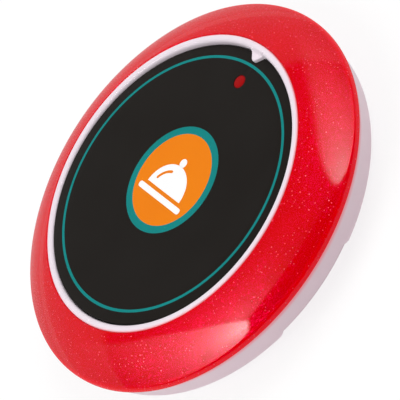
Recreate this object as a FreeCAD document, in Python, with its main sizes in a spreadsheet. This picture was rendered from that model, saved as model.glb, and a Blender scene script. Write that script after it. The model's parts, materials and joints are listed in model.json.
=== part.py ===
import FreeCAD, Part
import math
import os
import Sketcher

# Waiter call button, in millimetres. +Z is up, the origin is the middle of the plane that the feet
# stand on, +Y points to the indicator window and +X to the pry recess at three o'clock.

DRIVING_SIZES = (
    ("film_radius", 25.1, "push plate and film"),
    ("film_thick", 0.25, ""),
    ("plate_thick", 0.9, "push plate without its film"),
    ("plate_lean_drop", 0.57, "the plate's edge below its middle, where it lies lowest"),
    ("press_travel", 0.3, "stroke of the push plate"),
    ("press_room", 0.4, "from the plate's lowest edge to the deck"),
    ("plate_gap", 0.2, "between the plate and the bezel all round"),
    ("bezel_width", 1.3, "white band around the plate"),
    ("bezel_rise", 0.58, "bezel above the middle of the film"),
    ("bezel_inner_round", 0.65, ""),
    ("bezel_outer_round", 0.3, ""),
    ("tooth_reach", 1.72, "of the key tooth in from the bezel"),
    ("tooth_half_width", 1.85, "at the bezel"),
    ("tooth_nose_half_width", 0.45, ""),
    ("tooth_nose_depth", 0.25, ""),
    ("tooth_drop", 0.6, "tooth below the bezel's top"),
    ("tooth_aside", 0.55, "middle of the tooth to the left of Y"),
    ("tooth_gap", 0.15, "between the tooth and the plate's notch"),
    ("deck_thick", 0.8, "floor of the top housing"),
    ("deck_room", 2.0, "from the board to the deck"),
    ("deck_opening_radius", 6.0, "for the switch"),
    ("skirt_thick", 1.45, "sloping part of the top housing"),
    ("skirt_rim_gap", 0.15, "rim to the base's wall"),
    ("skirt_rim_width", 1.3, ""),
    ("lap_height", 1.18, "of the rim inside the base's wall"),
    ("seat_gap", 0.05, "between parts that rest on each other"),
    ("ring_rim_rise", 0.47, "inner edge of the red ring above the middle of the film"),
    ("ring_crown_radius", 21.3, "of the arc of its section"),
    ("ring_width", 8.107, "from its inner to its outer edge, seen from above"),
    ("ring_shoulder_drop", 3.78, "end of the crown below the middle of the film"),
    ("ring_corner_width", 0.347, "outside the shoulder, where the crown ends"),
    ("ring_corner_height", 0.757, ""),
    ("ring_corner_round", 1.0, ""),
    ("ring_lip_height", 0.45, "straight lip under the corner"),
    ("ring_lip_width", 1.75, ""),
    ("ring_inner_height", 1.84, "height of the inner edge"),
    ("ring_inner_round", 0.15, ""),
    ("wall_step", 0.307, "base shell inside the ring's outer edge"),
    ("wall_draft", 1.3, "base shell's wall, inwards from its top to its underside"),
    ("wall_top_round", 0.3, ""),
    ("wall_foot_round", 2.2, ""),
    ("wall_thick", 1.6, "at the top"),
    ("wall_foot_thick", 2.55, "at the floor"),
    ("seal_ledge_width", 1.55, ""),
    ("seal_width", 1.2, "case seal"),
    ("seal_thick", 0.6, ""),
    ("floor_thick", 2.0, ""),
    ("foot_proud", 0.8, "rubber foot below the base"),
    ("foot_inset", 0.4, "rubber foot in its pocket"),
    ("foot_radius", 3.5, ""),
    ("foot_circle_inset", 11.15, "from the foot of the wall"),
    ("foot_edge_round", 0.3, ""),
    ("recess_depth", 1.45, "pry recess, from the foot of the wall to its curved back"),
    ("recess_rise", 1.77, ""),
    ("recess_low_half_width", 9.6, ""),
    ("recess_top_half_width", 8.1, ""),
    ("recess_back_half_width", 9.4, ""),
    ("case_boss_gap", 0.2, "between a boss and the base's wall"),
    ("case_screw_radius", 1.0, ""),
    ("case_screw_length", 4.4, "under the head"),
    ("case_head_radius", 1.9, ""),
    ("case_head_thick", 1.2, ""),
    ("case_head_inset", 0.2, "head above the base's underside"),
    ("screw_hole_gap", 0.15, ""),
    ("thread_gap", 0.03, ""),
    ("case_boss_radius", 2.2, ""),
    ("case_post_height", 0.6, "above the floor"),
    ("boss_floor", 0.7, "left above a blind screw hole"),
    ("drive_length", 2.2, "cross recess in a screw head"),
    ("drive_width", 0.5, ""),
    ("drive_depth", 0.6, ""),
    ("board_gap", 0.5, "between the board and the bosses"),
    ("board_thick", 0.8, ""),
    ("board_post_radius", 2.2, ""),
    ("board_screw_inset", 5.5, "from the board's edge"),
    ("board_screw_radius", 0.8, ""),
    ("board_screw_length", 2.2, "under the head"),
    ("board_head_radius", 1.6, ""),
    ("board_head_thick", 1.0, ""),
    ("cell_radius", 10.0, "coin cell of 20 by 3.2"),
    ("cell_thick", 3.2, ""),
    ("cell_cap_step", 1.1, "cap inside the can"),
    ("cell_cap_height", 0.3, ""),
    ("cell_edge_round", 0.4, ""),
    ("cell_gap", 0.1, ""),
    ("contact_room", 0.6, "from the cell to the board"),
    ("contact_thick", 0.3, ""),
    ("contact_width", 3.0, ""),
    ("contact_foot_length", 3.4, ""),
    ("contact_tongue", 2.4, "side contact below its foot"),
    ("contact_leaf_length", 8.0, ""),
    ("contact_dimple_radius", 1.2, ""),
    ("door_floor_thick", 1.4, ""),
    ("door_cup_gap", 0.6, "around the cell"),
    ("door_hub_wall", 1.25, ""),
    ("door_flange_width", 1.65, "beyond the hub"),
    ("door_flange_thick", 0.8, ""),
    ("door_gap", 0.2, "around the flange"),
    ("door_bore_gap", 0.15, "around the hub"),
    ("door_seal_thick", 0.28, ""),
    ("door_seal_room", 0.3, ""),
    ("door_slot_length", 12.0, "coin slot"),
    ("door_slot_width", 1.8, ""),
    ("door_slot_depth", 0.7, ""),
    ("lug_half_width", 2.5, "bayonet lug"),
    ("lug_reach", 1.4, "beyond the hub"),
    ("lug_gap", 0.05, "above the floor"),
    ("lug_thick", 0.85, ""),
    ("notch_gap", 0.25, ""),
    ("stop_width", 1.2, ""),
    ("hook_inset", 3.6, "inner face of the hook legs, from the plate's edge"),
    ("hook_thick", 1.0, ""),
    ("hook_width", 4.0, ""),
    ("hook_barb_reach", 0.75, ""),
    ("hook_barb_thick", 0.5, ""),
    ("hook_slot_gap", 0.2, ""),
    ("nib_radius", 1.5, ""),
    ("nib_gap", 0.09, "between the nib and the plunger"),
    ("window_inset", 5.37, "middle of the window from the plate's edge"),
    ("window_aside", 0.7, "middle of the window to the left of Y"),
    ("window_radius", 1.2, ""),
    ("window_flange_width", 0.6, ""),
    ("window_flange_thick", 0.5, ""),
    ("window_edge_round", 0.15, ""),
    ("window_gap", 0.04, ""),
    ("lamp_hole_gap", 0.8, "around the window's flange, in the deck"),
    ("lamp_length", 3.5, ""),
    ("lamp_width", 2.8, ""),
    ("lamp_height", 1.9, ""),
    ("switch_width", 6.0, "tactile switch"),
    ("switch_body_height", 1.6, ""),
    ("switch_cover_thick", 0.3, ""),
    ("switch_height", 2.5, "board to plunger top"),
    ("switch_pit_gap", 0.3, "around the plunger's flange"),
    ("switch_pit_floor", 0.25, ""),
    ("plunger_radius", 1.7, ""),
    ("plunger_gap", 0.08, ""),
    ("plunger_flange_width", 0.5, ""),
    ("plunger_flange_thick", 0.4, ""),
    ("dome_gap", 0.15, "around the dome in the pit"),
    ("dome_height", 0.7, ""),
    ("dome_thick", 0.1, ""),
    ("terminal_length", 1.2, ""),
    ("terminal_width", 0.7, ""),
    ("terminal_thick", 0.15, ""),
    ("terminal_spread", 2.25, "from the middle of the switch"),
    ("chip_length", 5.0, "coding chip"),
    ("chip_width", 4.0, ""),
    ("chip_height", 1.5, ""),
    ("chip_place_radius", 13.0, ""),
    ("lead_pitch", 1.27, "of the chips' leads"),
    ("lead_length", 0.9, "beyond the chip"),
    ("lead_width", 0.4, ""),
    ("lead_thick", 0.2, ""),
    ("radio_length", 3.0, "transmitter chip"),
    ("radio_height", 0.9, ""),
    ("radio_place_radius", 12.5, ""),
    ("can_length", 5.0, "resonator can"),
    ("can_width", 3.8, ""),
    ("can_height", 1.4, ""),
    ("can_flange_width", 0.3, ""),
    ("can_flange_thick", 0.25, ""),
    ("can_inset", 9.5, "from the board's edge"),
    ("bobbin_radius", 1.5, "wound inductor"),
    ("bobbin_groove", 0.35, ""),
    ("bobbin_height", 1.5, ""),
    ("bobbin_flange_thick", 0.3, ""),
    ("bobbin_inset", 6.5, "from the board's edge"),
    ("passive_length", 1.6, "chip resistors and capacitors"),
    ("passive_width", 0.8, ""),
    ("resistor_height", 0.45, ""),
    ("capacitor_height", 0.8, ""),
    ("passive_circle_radius", 9.6, ""),
    ("antenna_inset", 1.2, "from the board's edge"),
    ("antenna_wire_radius", 0.35, ""),
    ("antenna_lift", 0.9, "wire's middle above the board"),
    ("overrun", 1.0, "of a cut past a face"),
)

ANGLES = {
    "plate_low_angle": 70.0,
    "board_screw_start_angle": 60.0,
    "case_screw_start_angle": 45.0,
    "door_turn_angle": 40.0,
    "contact_angle": 180.0,
    "chip_angle": 205.0,
    "radio_angle": 145.0,
    "can_angle": 332.0,
    "bobbin_angle": 32.0,
    "antenna_start_angle": 130.0,
    "antenna_sweep_angle": 280.0,
    "resistor_start_angle": 235.0,
    "resistor_pitch_angle": 24.0,
    "capacitor_start_angle": 20.0,
    "capacitor_pitch_angle": 24.0,
}
FULL_TURN = 360.0
HOOK_COUNT = 3
BOARD_SCREW_COUNT = 3
CASE_SCREW_COUNT = 4
FOOT_COUNT = 4
LUG_COUNT = 3
RECESS_COUNT = 2
RESISTOR_COUNT = 4
CAPACITOR_COUNT = 5
CHIP_LEAD_COUNT = 4
RADIO_LEAD_COUNT = 3

doc = FreeCAD.newDocument("WaiterCallButton")
sheet = doc.addObject("Spreadsheet::Sheet", "Sizes")
for row, (alias, value, note) in enumerate(DRIVING_SIZES, start=1):
    sheet.set(f"A{row}", alias)
    sheet.set(f"B{row}", str(value))
    sheet.setAlias(f"B{row}", alias)
    sheet.set(f"C{row}", note)
doc.recompute()


class Size:
    """A size with its number now and the expression of sheet cells that it comes from."""

    def __init__(self, value, text):
        self.value = value
        self.text = text

    def __add__(self, other):
        return Size(self.value + other.value, f"({self.text} + {other.text})")

    def __sub__(self, other):
        return Size(self.value - other.value, f"({self.text} - {other.text})")

    def __neg__(self):
        return Size(-self.value, f"(0 - {self.text})")

    def __mul__(self, factor):
        if isinstance(factor, Size):
            return Size(self.value * factor.value, f"({self.text} * {factor.text})")
        return Size(self.value * factor, f"({self.text} * {factor:.12f})")

    def __truediv__(self, other):
        return Size(self.value / other.value, f"({self.text} / {other.text})")


ZERO = Size(0.0, "0")


class SheetSizes:
    """The driving sizes by name, read from the sheet's cells."""

    def __getattr__(self, alias):
        return Size(float(sheet.get(alias)), f"Sizes.{alias}")


size = SheetSizes()


def polar(radius, degrees):
    """Place on a circle around Z as an x and a y."""
    turn = math.radians(degrees)
    return radius * math.cos(turn), radius * math.sin(turn)


def reach_along(radius, half_width):
    """How far along X a circle around Z reaches at a distance beside X."""
    return Size(math.sqrt(radius.value ** 2 - half_width.value ** 2),
                f"sqrt({radius.text}^2 - {half_width.text}^2)")


def bind(thing, **sizes):
    """Tie properties of an object to sizes. Two underscores in a name stand for a dot."""
    for name, length in sizes.items():
        thing.setExpression(name.replace("__", "."), length.text)


# Heights above the table, from the feet up
base_low = size.foot_proud
floor_top = base_low + size.floor_thick
cell_low = base_low + size.door_floor_thick + size.cell_gap
cell_top = cell_low + size.cell_thick
board_low = cell_top + size.contact_room
board_top = board_low + size.board_thick
plunger_top = board_top + size.switch_height
deck_low = board_top + size.deck_room
deck_top = deck_low + size.deck_thick
plate_low = deck_top + size.press_room + size.plate_lean_drop
plate_top = plate_low + size.plate_thick
label_height = plate_top + size.film_thick
bezel_top = label_height + size.bezel_rise
ring_rim_top = label_height + size.ring_rim_rise
ring_rim_low = ring_rim_top - size.ring_inner_height
ring_shoulder_height = label_height - size.ring_shoulder_drop
ring_lip_top = ring_shoulder_height - size.ring_corner_height
ring_lip_low = ring_lip_top - size.ring_lip_height
wall_top = ring_lip_low - size.seat_gap
skirt_rim_low = wall_top - size.lap_height
ledge_top = skirt_rim_low - size.seal_thick

# Radii, from the push plate out to the ring and from there in again under it
window_circle_radius = size.film_radius - size.window_inset
hook_circle_radius = size.film_radius - size.hook_inset
bezel_inner_radius = size.film_radius + size.plate_gap
bezel_outer_radius = bezel_inner_radius + size.bezel_width
ring_inner_radius = bezel_outer_radius + size.seat_gap
ring_outer_radius = ring_inner_radius + size.ring_width
ring_shoulder_radius = ring_outer_radius - size.ring_corner_width
ring_lip_inner_radius = ring_outer_radius - size.ring_lip_width
wall_top_radius = ring_outer_radius - size.wall_step
wall_foot_radius = wall_top_radius - size.wall_draft
wall_inner_radius = wall_top_radius - size.wall_thick
inner_wall_foot_radius = wall_foot_radius - size.wall_foot_thick
ledge_inner_radius = wall_inner_radius - size.seal_ledge_width
skirt_rim_radius = wall_inner_radius - size.skirt_rim_gap
foot_circle_radius = wall_foot_radius - size.foot_circle_inset
recess_back_radius = wall_foot_radius - size.recess_depth
case_screw_circle_radius = inner_wall_foot_radius - size.case_boss_gap - size.case_boss_radius
board_radius = case_screw_circle_radius - size.case_boss_radius - size.board_gap
board_screw_circle_radius = board_radius - size.board_screw_inset
antenna_circle_radius = board_radius - size.antenna_inset

# Battery door, from the coin cell out
door_cup_radius = size.cell_radius + size.door_cup_gap
door_hub_radius = door_cup_radius + size.door_hub_wall
door_flange_radius = door_hub_radius + size.door_flange_width
door_opening_radius = door_flange_radius + size.door_gap
door_bore_radius = door_hub_radius + size.door_bore_gap
door_step_top = base_low + size.door_flange_thick + size.door_seal_room
lug_tip = door_hub_radius + size.lug_reach
lug_low = floor_top + size.lug_gap
lug_top = lug_low + size.lug_thick


def origin_feature(body, role):
    """The body's own origin plane or axis with this role."""
    return next(item for item in body.Origin.OriginFeatures if item.Role == role)


def new_body(name):
    body = doc.addObject("PartDesign::Body", name)
    body.Label = name
    body.AllowCompound = False
    return body


def new_sketch(body, name, role, lift=ZERO, degrees=0.0):
    """Sketch on one of the body's origin planes, lifted along that plane's normal and turned."""
    sketch = body.newObject("Sketcher::SketchObject", name)
    sketch.AttachmentSupport = [(origin_feature(body, role), "")]
    sketch.MapMode = "FlatFace"
    sketch.AttachmentOffset = FreeCAD.Placement(
        FreeCAD.Vector(0, 0, 0), FreeCAD.Rotation(FreeCAD.Vector(0, 0, 1), degrees))
    bind(sketch, AttachmentOffset__Base__z=lift)
    return sketch


def tie(sketch, kind, where, length):
    """Add a driving constraint and tie it to a size."""
    number = sketch.addConstraint(Sketcher.Constraint(kind, *where, length.value))
    sketch.setExpression(f"Constraints[{number}]", length.text)


def draw_circle(sketch, radius, across=ZERO, up=ZERO):
    centre = FreeCAD.Vector(across.value, up.value, 0)
    circle = sketch.addGeometry(Part.Circle(centre, FreeCAD.Vector(0, 0, 1), radius.value))
    tie(sketch, "Radius", (circle,), radius)
    tie(sketch, "DistanceX", (-1, 1, circle, 3), across)
    tie(sketch, "DistanceY", (-1, 1, circle, 3), up)


def arc_of(start, end, radius, side):
    """Short arc from start to end that turns to the side, 1 for left and -1 for right."""
    chord = end - start
    half = chord.Length / 2
    normal = FreeCAD.Vector(-chord.y, chord.x, 0).normalize()
    centre = (start + end) * 0.5 + normal * (side * math.sqrt(max(radius * radius - half * half, 0)))
    from_angle = math.atan2(start.y - centre.y, start.x - centre.x)
    to_angle = math.atan2(end.y - centre.y, end.x - centre.x)
    circle = Part.Circle(centre, FreeCAD.Vector(0, 0, 1), radius)
    if side > 0:
        return Part.ArcOfCircle(circle, from_angle, to_angle)
    return Part.ArcOfCircle(circle, to_angle, from_angle)


def draw_outline(sketch, points):
    """Closed outline through (across, up) points. A point with a radius and a side is reached by an
    arc of that radius which turns left (1) or right (-1), any other by a straight line."""
    places = [FreeCAD.Vector(point[0].value, point[1].value, 0) for point in points]
    ends = []
    for index, point in enumerate(points):
        start, end = places[index - 1], places[index]
        if len(point) == 2:
            edge = sketch.addGeometry(Part.LineSegment(start, end))
            ends.append((edge, 1, 2))
            continue
        edge = sketch.addGeometry(arc_of(start, end, point[2].value, point[3]))
        tie(sketch, "Radius", (edge,), point[2])
        ends.append((edge, 1, 2) if point[3] > 0 else (edge, 2, 1))
    for index, point in enumerate(points):
        edge, _, last = ends[index]
        following, first, _ = ends[(index + 1) % len(ends)]
        sketch.addConstraint(Sketcher.Constraint("Coincident", edge, last, following, first))
        tie(sketch, "DistanceX", (-1, 1, edge, last), point[0])
        tie(sketch, "DistanceY", (-1, 1, edge, last), point[1])


def draw_rectangle(sketch, low_across, low_up, high_across, high_up):
    draw_outline(sketch, ((low_across, low_up), (high_across, low_up),
                          (high_across, high_up), (low_across, high_up)))


def revolve(body, name, points):
    """Turn an outline of (radius, height) points around Z."""
    sketch = new_sketch(body, f"{name}_outline", "XZ_Plane")
    draw_outline(sketch, points)
    turned = body.newObject("PartDesign::Revolution", name)
    turned.Profile = sketch
    turned.ReferenceAxis = (sketch, ["V_Axis"])
    turned.Angle = FULL_TURN
    body.Tip = turned
    doc.recompute()
    return turned


def grow(body, name, low, high, draw, role="XY_Plane", degrees=0.0):
    """Pad what draw(sketch) draws from one height to another."""
    sketch = new_sketch(body, f"{name}_outline", role, low, degrees)
    draw(sketch)
    pad = body.newObject("PartDesign::Pad", name)
    pad.Profile = sketch
    bind(pad, Length=high - low)
    body.Tip = pad
    doc.recompute()
    return pad


def sink(body, name, low, high, draw, role="XY_Plane", degrees=0.0):
    """Cut what draw(sketch) draws from one height to another, and make sure that it cut."""
    before = body.Shape.Volume
    sketch = new_sketch(body, f"{name}_outline", role, low, degrees)
    draw(sketch)
    pocket = body.newObject("PartDesign::Pocket", name)
    pocket.Profile = sketch
    pocket.Reversed = True
    bind(pocket, Length=high - low)
    body.Tip = pocket
    doc.recompute()
    if not body.Shape.Volume < before:
        raise RuntimeError(f"{name} cuts nothing from {body.Label}")
    return pocket


def repeat_around(body, name, features, count):
    """Repeat features evenly around Z."""
    pattern = body.newObject("PartDesign::PolarPattern", name)
    pattern.Originals = features
    pattern.Axis = (origin_feature(body, "Z_Axis"), [""])
    pattern.Angle = FULL_TURN
    pattern.Occurrences = count
    body.Tip = pattern
    doc.recompute()
    return pattern


def round_rims(body, name, radius, rims):
    """Round the circular edges that have one of the (radius, height) pairs."""
    base = body.Tip
    slack = size.seat_gap.value / 2
    picked = []
    for number, edge in enumerate(base.Shape.Edges, start=1):
        if not isinstance(edge.Curve, Part.Circle):
            continue
        for rim_radius, height in rims:
            if (abs(edge.Curve.Radius - rim_radius.value) < slack
                    and abs(edge.Curve.Center.z - height.value) < slack):
                picked.append(f"Edge{number}")
    if not picked:
        raise RuntimeError(f"{name} finds no edge on {body.Label}")
    fillet = body.newObject("PartDesign::Fillet", name)
    fillet.Base = (base, picked)
    bind(fillet, Radius=radius)
    body.Tip = fillet
    doc.recompute()
    return fillet


def block(name, sides, centre, low, degrees=0.0):
    """Box of (length, width, height) centred over a place, turned about Z."""
    length, width, height = sides
    box = doc.addObject("Part::Box", name)
    bind(box, Length=length, Width=width, Height=height)
    along = polar(length * 0.5, degrees)
    aside = polar(width * 0.5, degrees)
    box.Placement = FreeCAD.Placement(
        FreeCAD.Vector(0, 0, 0), FreeCAD.Rotation(FreeCAD.Vector(0, 0, 1), degrees))
    bind(box, Placement__Base__x=centre[0] - along[0] + aside[1],
         Placement__Base__y=centre[1] - along[1] - aside[0],
         Placement__Base__z=low)
    return box


def rod(name, radius, centre, low, high):
    """Upright cylinder between two heights."""
    cylinder = doc.addObject("Part::Cylinder", name)
    bind(cylinder, Radius=radius, Height=high - low, Placement__Base__x=centre[0],
         Placement__Base__y=centre[1], Placement__Base__z=low)
    return cylinder


def join(name, shapes):
    fused = doc.addObject("Part::MultiFuse", name)
    fused.Shapes = shapes
    return fused


def cut(name, base, tool):
    difference = doc.addObject("Part::Cut", name)
    difference.Base = base
    difference.Tool = tool
    return difference


def group(name, shapes):
    """Identical pieces kept as separate solids of one sub-part."""
    compound = doc.addObject("Part::Compound", name)
    compound.Links = shapes
    return compound


parts = []


def keep(thing, label):
    """Name a finished sub-part; the label is its file's name."""
    thing.Label = label
    parts.append(thing)


def lean(body):
    """Lean a body about the middle of the film, as the loose push plate lies on the deck's hooks."""
    low_side = math.radians(ANGLES["plate_low_angle"])
    degrees = math.degrees(math.asin(size.plate_lean_drop.value / size.film_radius.value))
    axis = FreeCAD.Vector(-math.sin(low_side), math.cos(low_side), 0)
    body.Placement = FreeCAD.Placement(FreeCAD.Vector(0, 0, 0), FreeCAD.Rotation(axis, degrees),
                                       FreeCAD.Vector(0, 0, label_height.value))


def tooth_points(gap):
    """Rounded triangle that points at the centre, widened by a gap."""
    side = size.tooth_half_width + gap
    nose = size.tooth_nose_half_width + gap * 0.7
    tip = bezel_inner_radius - size.tooth_reach - gap
    shoulder = tip + size.tooth_nose_depth
    depth = size.tooth_nose_depth
    nose_radius = (nose * nose + depth * depth) / (depth * 2.0)
    middle = -size.tooth_aside
    return (
        (middle - side, bezel_inner_radius),
        (middle - nose, shoulder),
        (middle + nose, shoulder, nose_radius, 1),
        (middle + side, bezel_inner_radius),
        (middle + side, bezel_inner_radius + size.bezel_width * 0.5),
        (middle - side, bezel_inner_radius + size.bezel_width * 0.5),
    )


def make_label_film():
    body = new_body("label_film")
    grow(body, "film_disc", plate_top, label_height,
         lambda sketch: draw_circle(sketch, size.film_radius))
    sink(body, "film_notch", plate_top - size.overrun, label_height + size.overrun,
         lambda sketch: draw_outline(sketch, tooth_points(size.tooth_gap)))
    sink(body, "film_window_hole", plate_top - size.overrun, label_height + size.overrun,
         lambda sketch: draw_circle(sketch, size.window_radius + size.window_gap,
                                    -size.window_aside, window_circle_radius))
    lean(body)
    keep(body, "label_film")


def make_button_plate():
    body = new_body("button_plate")
    grow(body, "plate_disc", plate_low, plate_top,
         lambda sketch: draw_circle(sketch, size.film_radius))
    sink(body, "plate_notch", plate_low - size.overrun, plate_top + size.overrun,
         lambda sketch: draw_outline(sketch, tooth_points(size.tooth_gap)))
    sink(body, "plate_window_hole", plate_low - size.overrun, plate_top + size.overrun,
         lambda sketch: draw_circle(sketch, size.window_radius + size.window_gap,
                                    -size.window_aside, window_circle_radius))
    grow(body, "nib", plunger_top + size.nib_gap, plate_low,
         lambda sketch: draw_circle(sketch, size.nib_radius))
    half = size.hook_width * 0.5
    face = hook_circle_radius + size.hook_thick
    barb_tip = face + size.hook_barb_reach
    lean_rise = size.plate_lean_drop * barb_tip / size.film_radius
    barb_top = deck_low - size.seat_gap - lean_rise
    barb_low = barb_top - size.hook_barb_thick
    leg = grow(body, "hook_leg", barb_low, plate_low,
               lambda sketch: draw_rectangle(sketch, hook_circle_radius, -half, face, half))
    barb = grow(body, "hook_barb", barb_low, barb_top,
                lambda sketch: draw_rectangle(sketch, hook_circle_radius, -half, barb_tip, half))
    repeat_around(body, "hooks", [leg, barb], HOOK_COUNT)
    lean(body)
    keep(body, "button_plate")


def make_led_window():
    body = new_body("led_window")
    flange_radius = size.window_radius + size.window_flange_width
    grow(body, "window_flange", plate_low - size.window_flange_thick, plate_low,
         lambda sketch: draw_circle(sketch, flange_radius, -size.window_aside,
                                    window_circle_radius))
    grow(body, "window_head", plate_low, label_height,
         lambda sketch: draw_circle(sketch, size.window_radius, -size.window_aside,
                                    window_circle_radius))
    round_rims(body, "window_edge", size.window_edge_round,
               ((size.window_radius, label_height),))
    lean(body)
    keep(body, "led_window")


def skirt_height(radius):
    """Top of the sloping skirt at a radius, a seat gap under the ring."""
    fall = (ring_rim_low - ring_lip_top) / (ring_lip_inner_radius - ring_inner_radius)
    return ring_rim_low - fall * (radius - ring_inner_radius) - size.seat_gap


def make_top_housing():
    body = new_body("top_housing")
    rim_inner_radius = skirt_rim_radius - size.skirt_rim_width
    revolve(body, "housing_section", (
        (bezel_inner_radius, deck_top),
        (bezel_inner_radius, bezel_top - size.bezel_inner_round),
        (bezel_inner_radius + size.bezel_inner_round, bezel_top, size.bezel_inner_round, -1),
        (bezel_outer_radius - size.bezel_outer_round, bezel_top),
        (bezel_outer_radius, bezel_top - size.bezel_outer_round, size.bezel_outer_round, -1),
        (bezel_outer_radius, skirt_height(bezel_outer_radius)),
        (skirt_rim_radius, skirt_height(skirt_rim_radius)),
        (skirt_rim_radius, skirt_rim_low),
        (rim_inner_radius, skirt_rim_low),
        (rim_inner_radius, skirt_height(rim_inner_radius) - size.skirt_thick),
        (bezel_outer_radius, deck_low),
        (size.deck_opening_radius, deck_low),
        (size.deck_opening_radius, deck_top),
    ))
    grow(body, "key_tooth", deck_top, bezel_top - size.tooth_drop,
         lambda sketch: draw_outline(sketch, tooth_points(ZERO)))
    lamp_hole_radius = size.window_radius + size.window_flange_width + size.lamp_hole_gap
    sink(body, "lamp_hole", deck_low - size.overrun, deck_top + size.press_travel,
         lambda sketch: draw_circle(sketch, lamp_hole_radius, -size.window_aside,
                                    window_circle_radius))
    half = size.hook_width * 0.5 + size.hook_slot_gap
    inner = hook_circle_radius - size.hook_slot_gap
    outer = hook_circle_radius + size.hook_thick + size.hook_slot_gap
    slot = sink(body, "hook_slot", deck_low - size.overrun, deck_top + size.press_travel,
                lambda sketch: draw_rectangle(sketch, inner, -half, outer, half))
    repeat_around(body, "hook_slots", [slot], HOOK_COUNT)
    place = polar(board_screw_circle_radius, ANGLES["board_screw_start_angle"])
    post = grow(body, "board_post", board_top, deck_low,
                lambda sketch: draw_circle(sketch, size.board_post_radius, *place))
    repeat_around(body, "board_posts", [post], BOARD_SCREW_COUNT)
    hole_top = deck_top - size.boss_floor
    hole = sink(body, "board_screw_hole", board_top - size.overrun, hole_top,
                lambda sketch: draw_circle(sketch, size.board_screw_radius + size.thread_gap, *place))
    repeat_around(body, "board_screw_holes", [hole], BOARD_SCREW_COUNT)
    corner = polar(case_screw_circle_radius, ANGLES["case_screw_start_angle"])
    boss_low = floor_top + size.case_post_height + size.seat_gap
    boss_top = skirt_height(case_screw_circle_radius + size.case_boss_radius)
    boss = grow(body, "case_boss", boss_low, boss_top - size.skirt_thick * 0.5,
                lambda sketch: draw_circle(sketch, size.case_boss_radius, *corner))
    repeat_around(body, "case_bosses", [boss], CASE_SCREW_COUNT)
    bite = sink(body, "case_screw_hole", boss_low - size.overrun,
                boss_top - size.boss_floor,
                lambda sketch: draw_circle(sketch, size.case_screw_radius + size.thread_gap, *corner))
    repeat_around(body, "case_screw_holes", [bite], CASE_SCREW_COUNT)
    keep(body, "top_housing")


def make_glitter_ring():
    body = new_body("glitter_ring")
    edge_round = size.ring_inner_round
    revolve(body, "ring_section", (
        (ring_inner_radius, ring_rim_low),
        (ring_inner_radius, ring_rim_top - edge_round),
        (ring_inner_radius + edge_round, ring_rim_top, edge_round, -1),
        (ring_shoulder_radius, ring_shoulder_height,
         size.ring_crown_radius, -1),
        (ring_outer_radius, ring_lip_top, size.ring_corner_round, -1),
        (ring_outer_radius, ring_lip_low),
        (ring_lip_inner_radius, ring_lip_low),
        (ring_lip_inner_radius, ring_lip_top),
    ))
    keep(body, "glitter_ring")


def make_base_shell():
    body = new_body("base_shell")
    revolve(body, "base_section", (
        (door_bore_radius, floor_top),
        (inner_wall_foot_radius, floor_top),
        (ledge_inner_radius, ledge_top),
        (wall_inner_radius, ledge_top),
        (wall_inner_radius, wall_top),
        (wall_top_radius, wall_top),
        (wall_foot_radius, base_low),
        (door_opening_radius, base_low),
        (door_opening_radius, door_step_top),
        (door_bore_radius, door_step_top),
    ))
    round_rims(body, "wall_top_edge", size.wall_top_round, ((wall_top_radius, wall_top),))
    round_rims(body, "wall_foot_edge", size.wall_foot_round, ((wall_foot_radius, base_low),))
    low, rise = size.recess_low_half_width, base_low + size.recess_rise
    below = base_low - size.overrun
    back_half = size.recess_back_half_width
    back_end = reach_along(recess_back_radius, back_half)
    recess = sink(body, "pry_recess", back_end - size.seat_gap,
                  wall_top_radius + size.overrun,
                  lambda sketch: draw_outline(sketch, (
                      (-low, below), (low, below), (low, base_low),
                      (size.recess_top_half_width, rise),
                      (-size.recess_top_half_width, rise), (-low, base_low))), "YZ_Plane")
    back = grow(body, "recess_back", base_low, rise,
                lambda sketch: draw_outline(sketch, (
                    (back_end - size.overrun, -back_half), (back_end, -back_half),
                    (back_end, back_half, recess_back_radius, 1),
                    (back_end - size.overrun, back_half))))
    repeat_around(body, "pry_recesses", [recess, back], RECESS_COUNT)
    corner = polar(case_screw_circle_radius, ANGLES["case_screw_start_angle"])
    post = grow(body, "case_post", base_low + size.floor_thick * 0.5,
                floor_top + size.case_post_height,
                lambda sketch: draw_circle(sketch, size.case_boss_radius, *corner))
    repeat_around(body, "case_posts", [post], CASE_SCREW_COUNT)
    hole = sink(body, "case_screw_way", base_low - size.overrun,
                floor_top + size.case_post_height + size.overrun,
                lambda sketch: draw_circle(sketch, size.case_screw_radius + size.screw_hole_gap,
                                           *corner))
    repeat_around(body, "case_screw_ways", [hole], CASE_SCREW_COUNT)
    seat = base_low + size.case_head_inset + size.case_head_thick
    sunk = sink(body, "head_counterbore", base_low - size.overrun, seat,
                lambda sketch: draw_circle(sketch, size.case_head_radius + size.screw_hole_gap,
                                           *corner))
    repeat_around(body, "head_counterbores", [sunk], CASE_SCREW_COUNT)
    foot = sink(body, "foot_pocket", base_low - size.overrun, base_low + size.foot_inset,
                lambda sketch: draw_circle(sketch, size.foot_radius + size.seat_gap,
                                           foot_circle_radius))
    repeat_around(body, "foot_pockets", [foot], FOOT_COUNT)
    notch_half = size.lug_half_width + size.notch_gap
    notch = sink(body, "lug_notch", door_step_top - size.door_seal_room, floor_top + size.overrun,
                 lambda sketch: draw_rectangle(sketch, door_hub_radius - size.overrun, -notch_half,
                                               lug_tip + size.notch_gap, notch_half),
                 degrees=-ANGLES["door_turn_angle"])
    repeat_around(body, "lug_notches", [notch], LUG_COUNT)
    stop_side = size.lug_half_width + size.seat_gap
    stop = grow(body, "lug_stop", floor_top - size.floor_thick * 0.25, lug_top,
                lambda sketch: draw_rectangle(sketch, door_bore_radius + size.door_gap, stop_side,
                                              lug_tip, stop_side + size.stop_width))
    repeat_around(body, "lug_stops", [stop], LUG_COUNT)
    keep(body, "base_shell")


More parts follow.
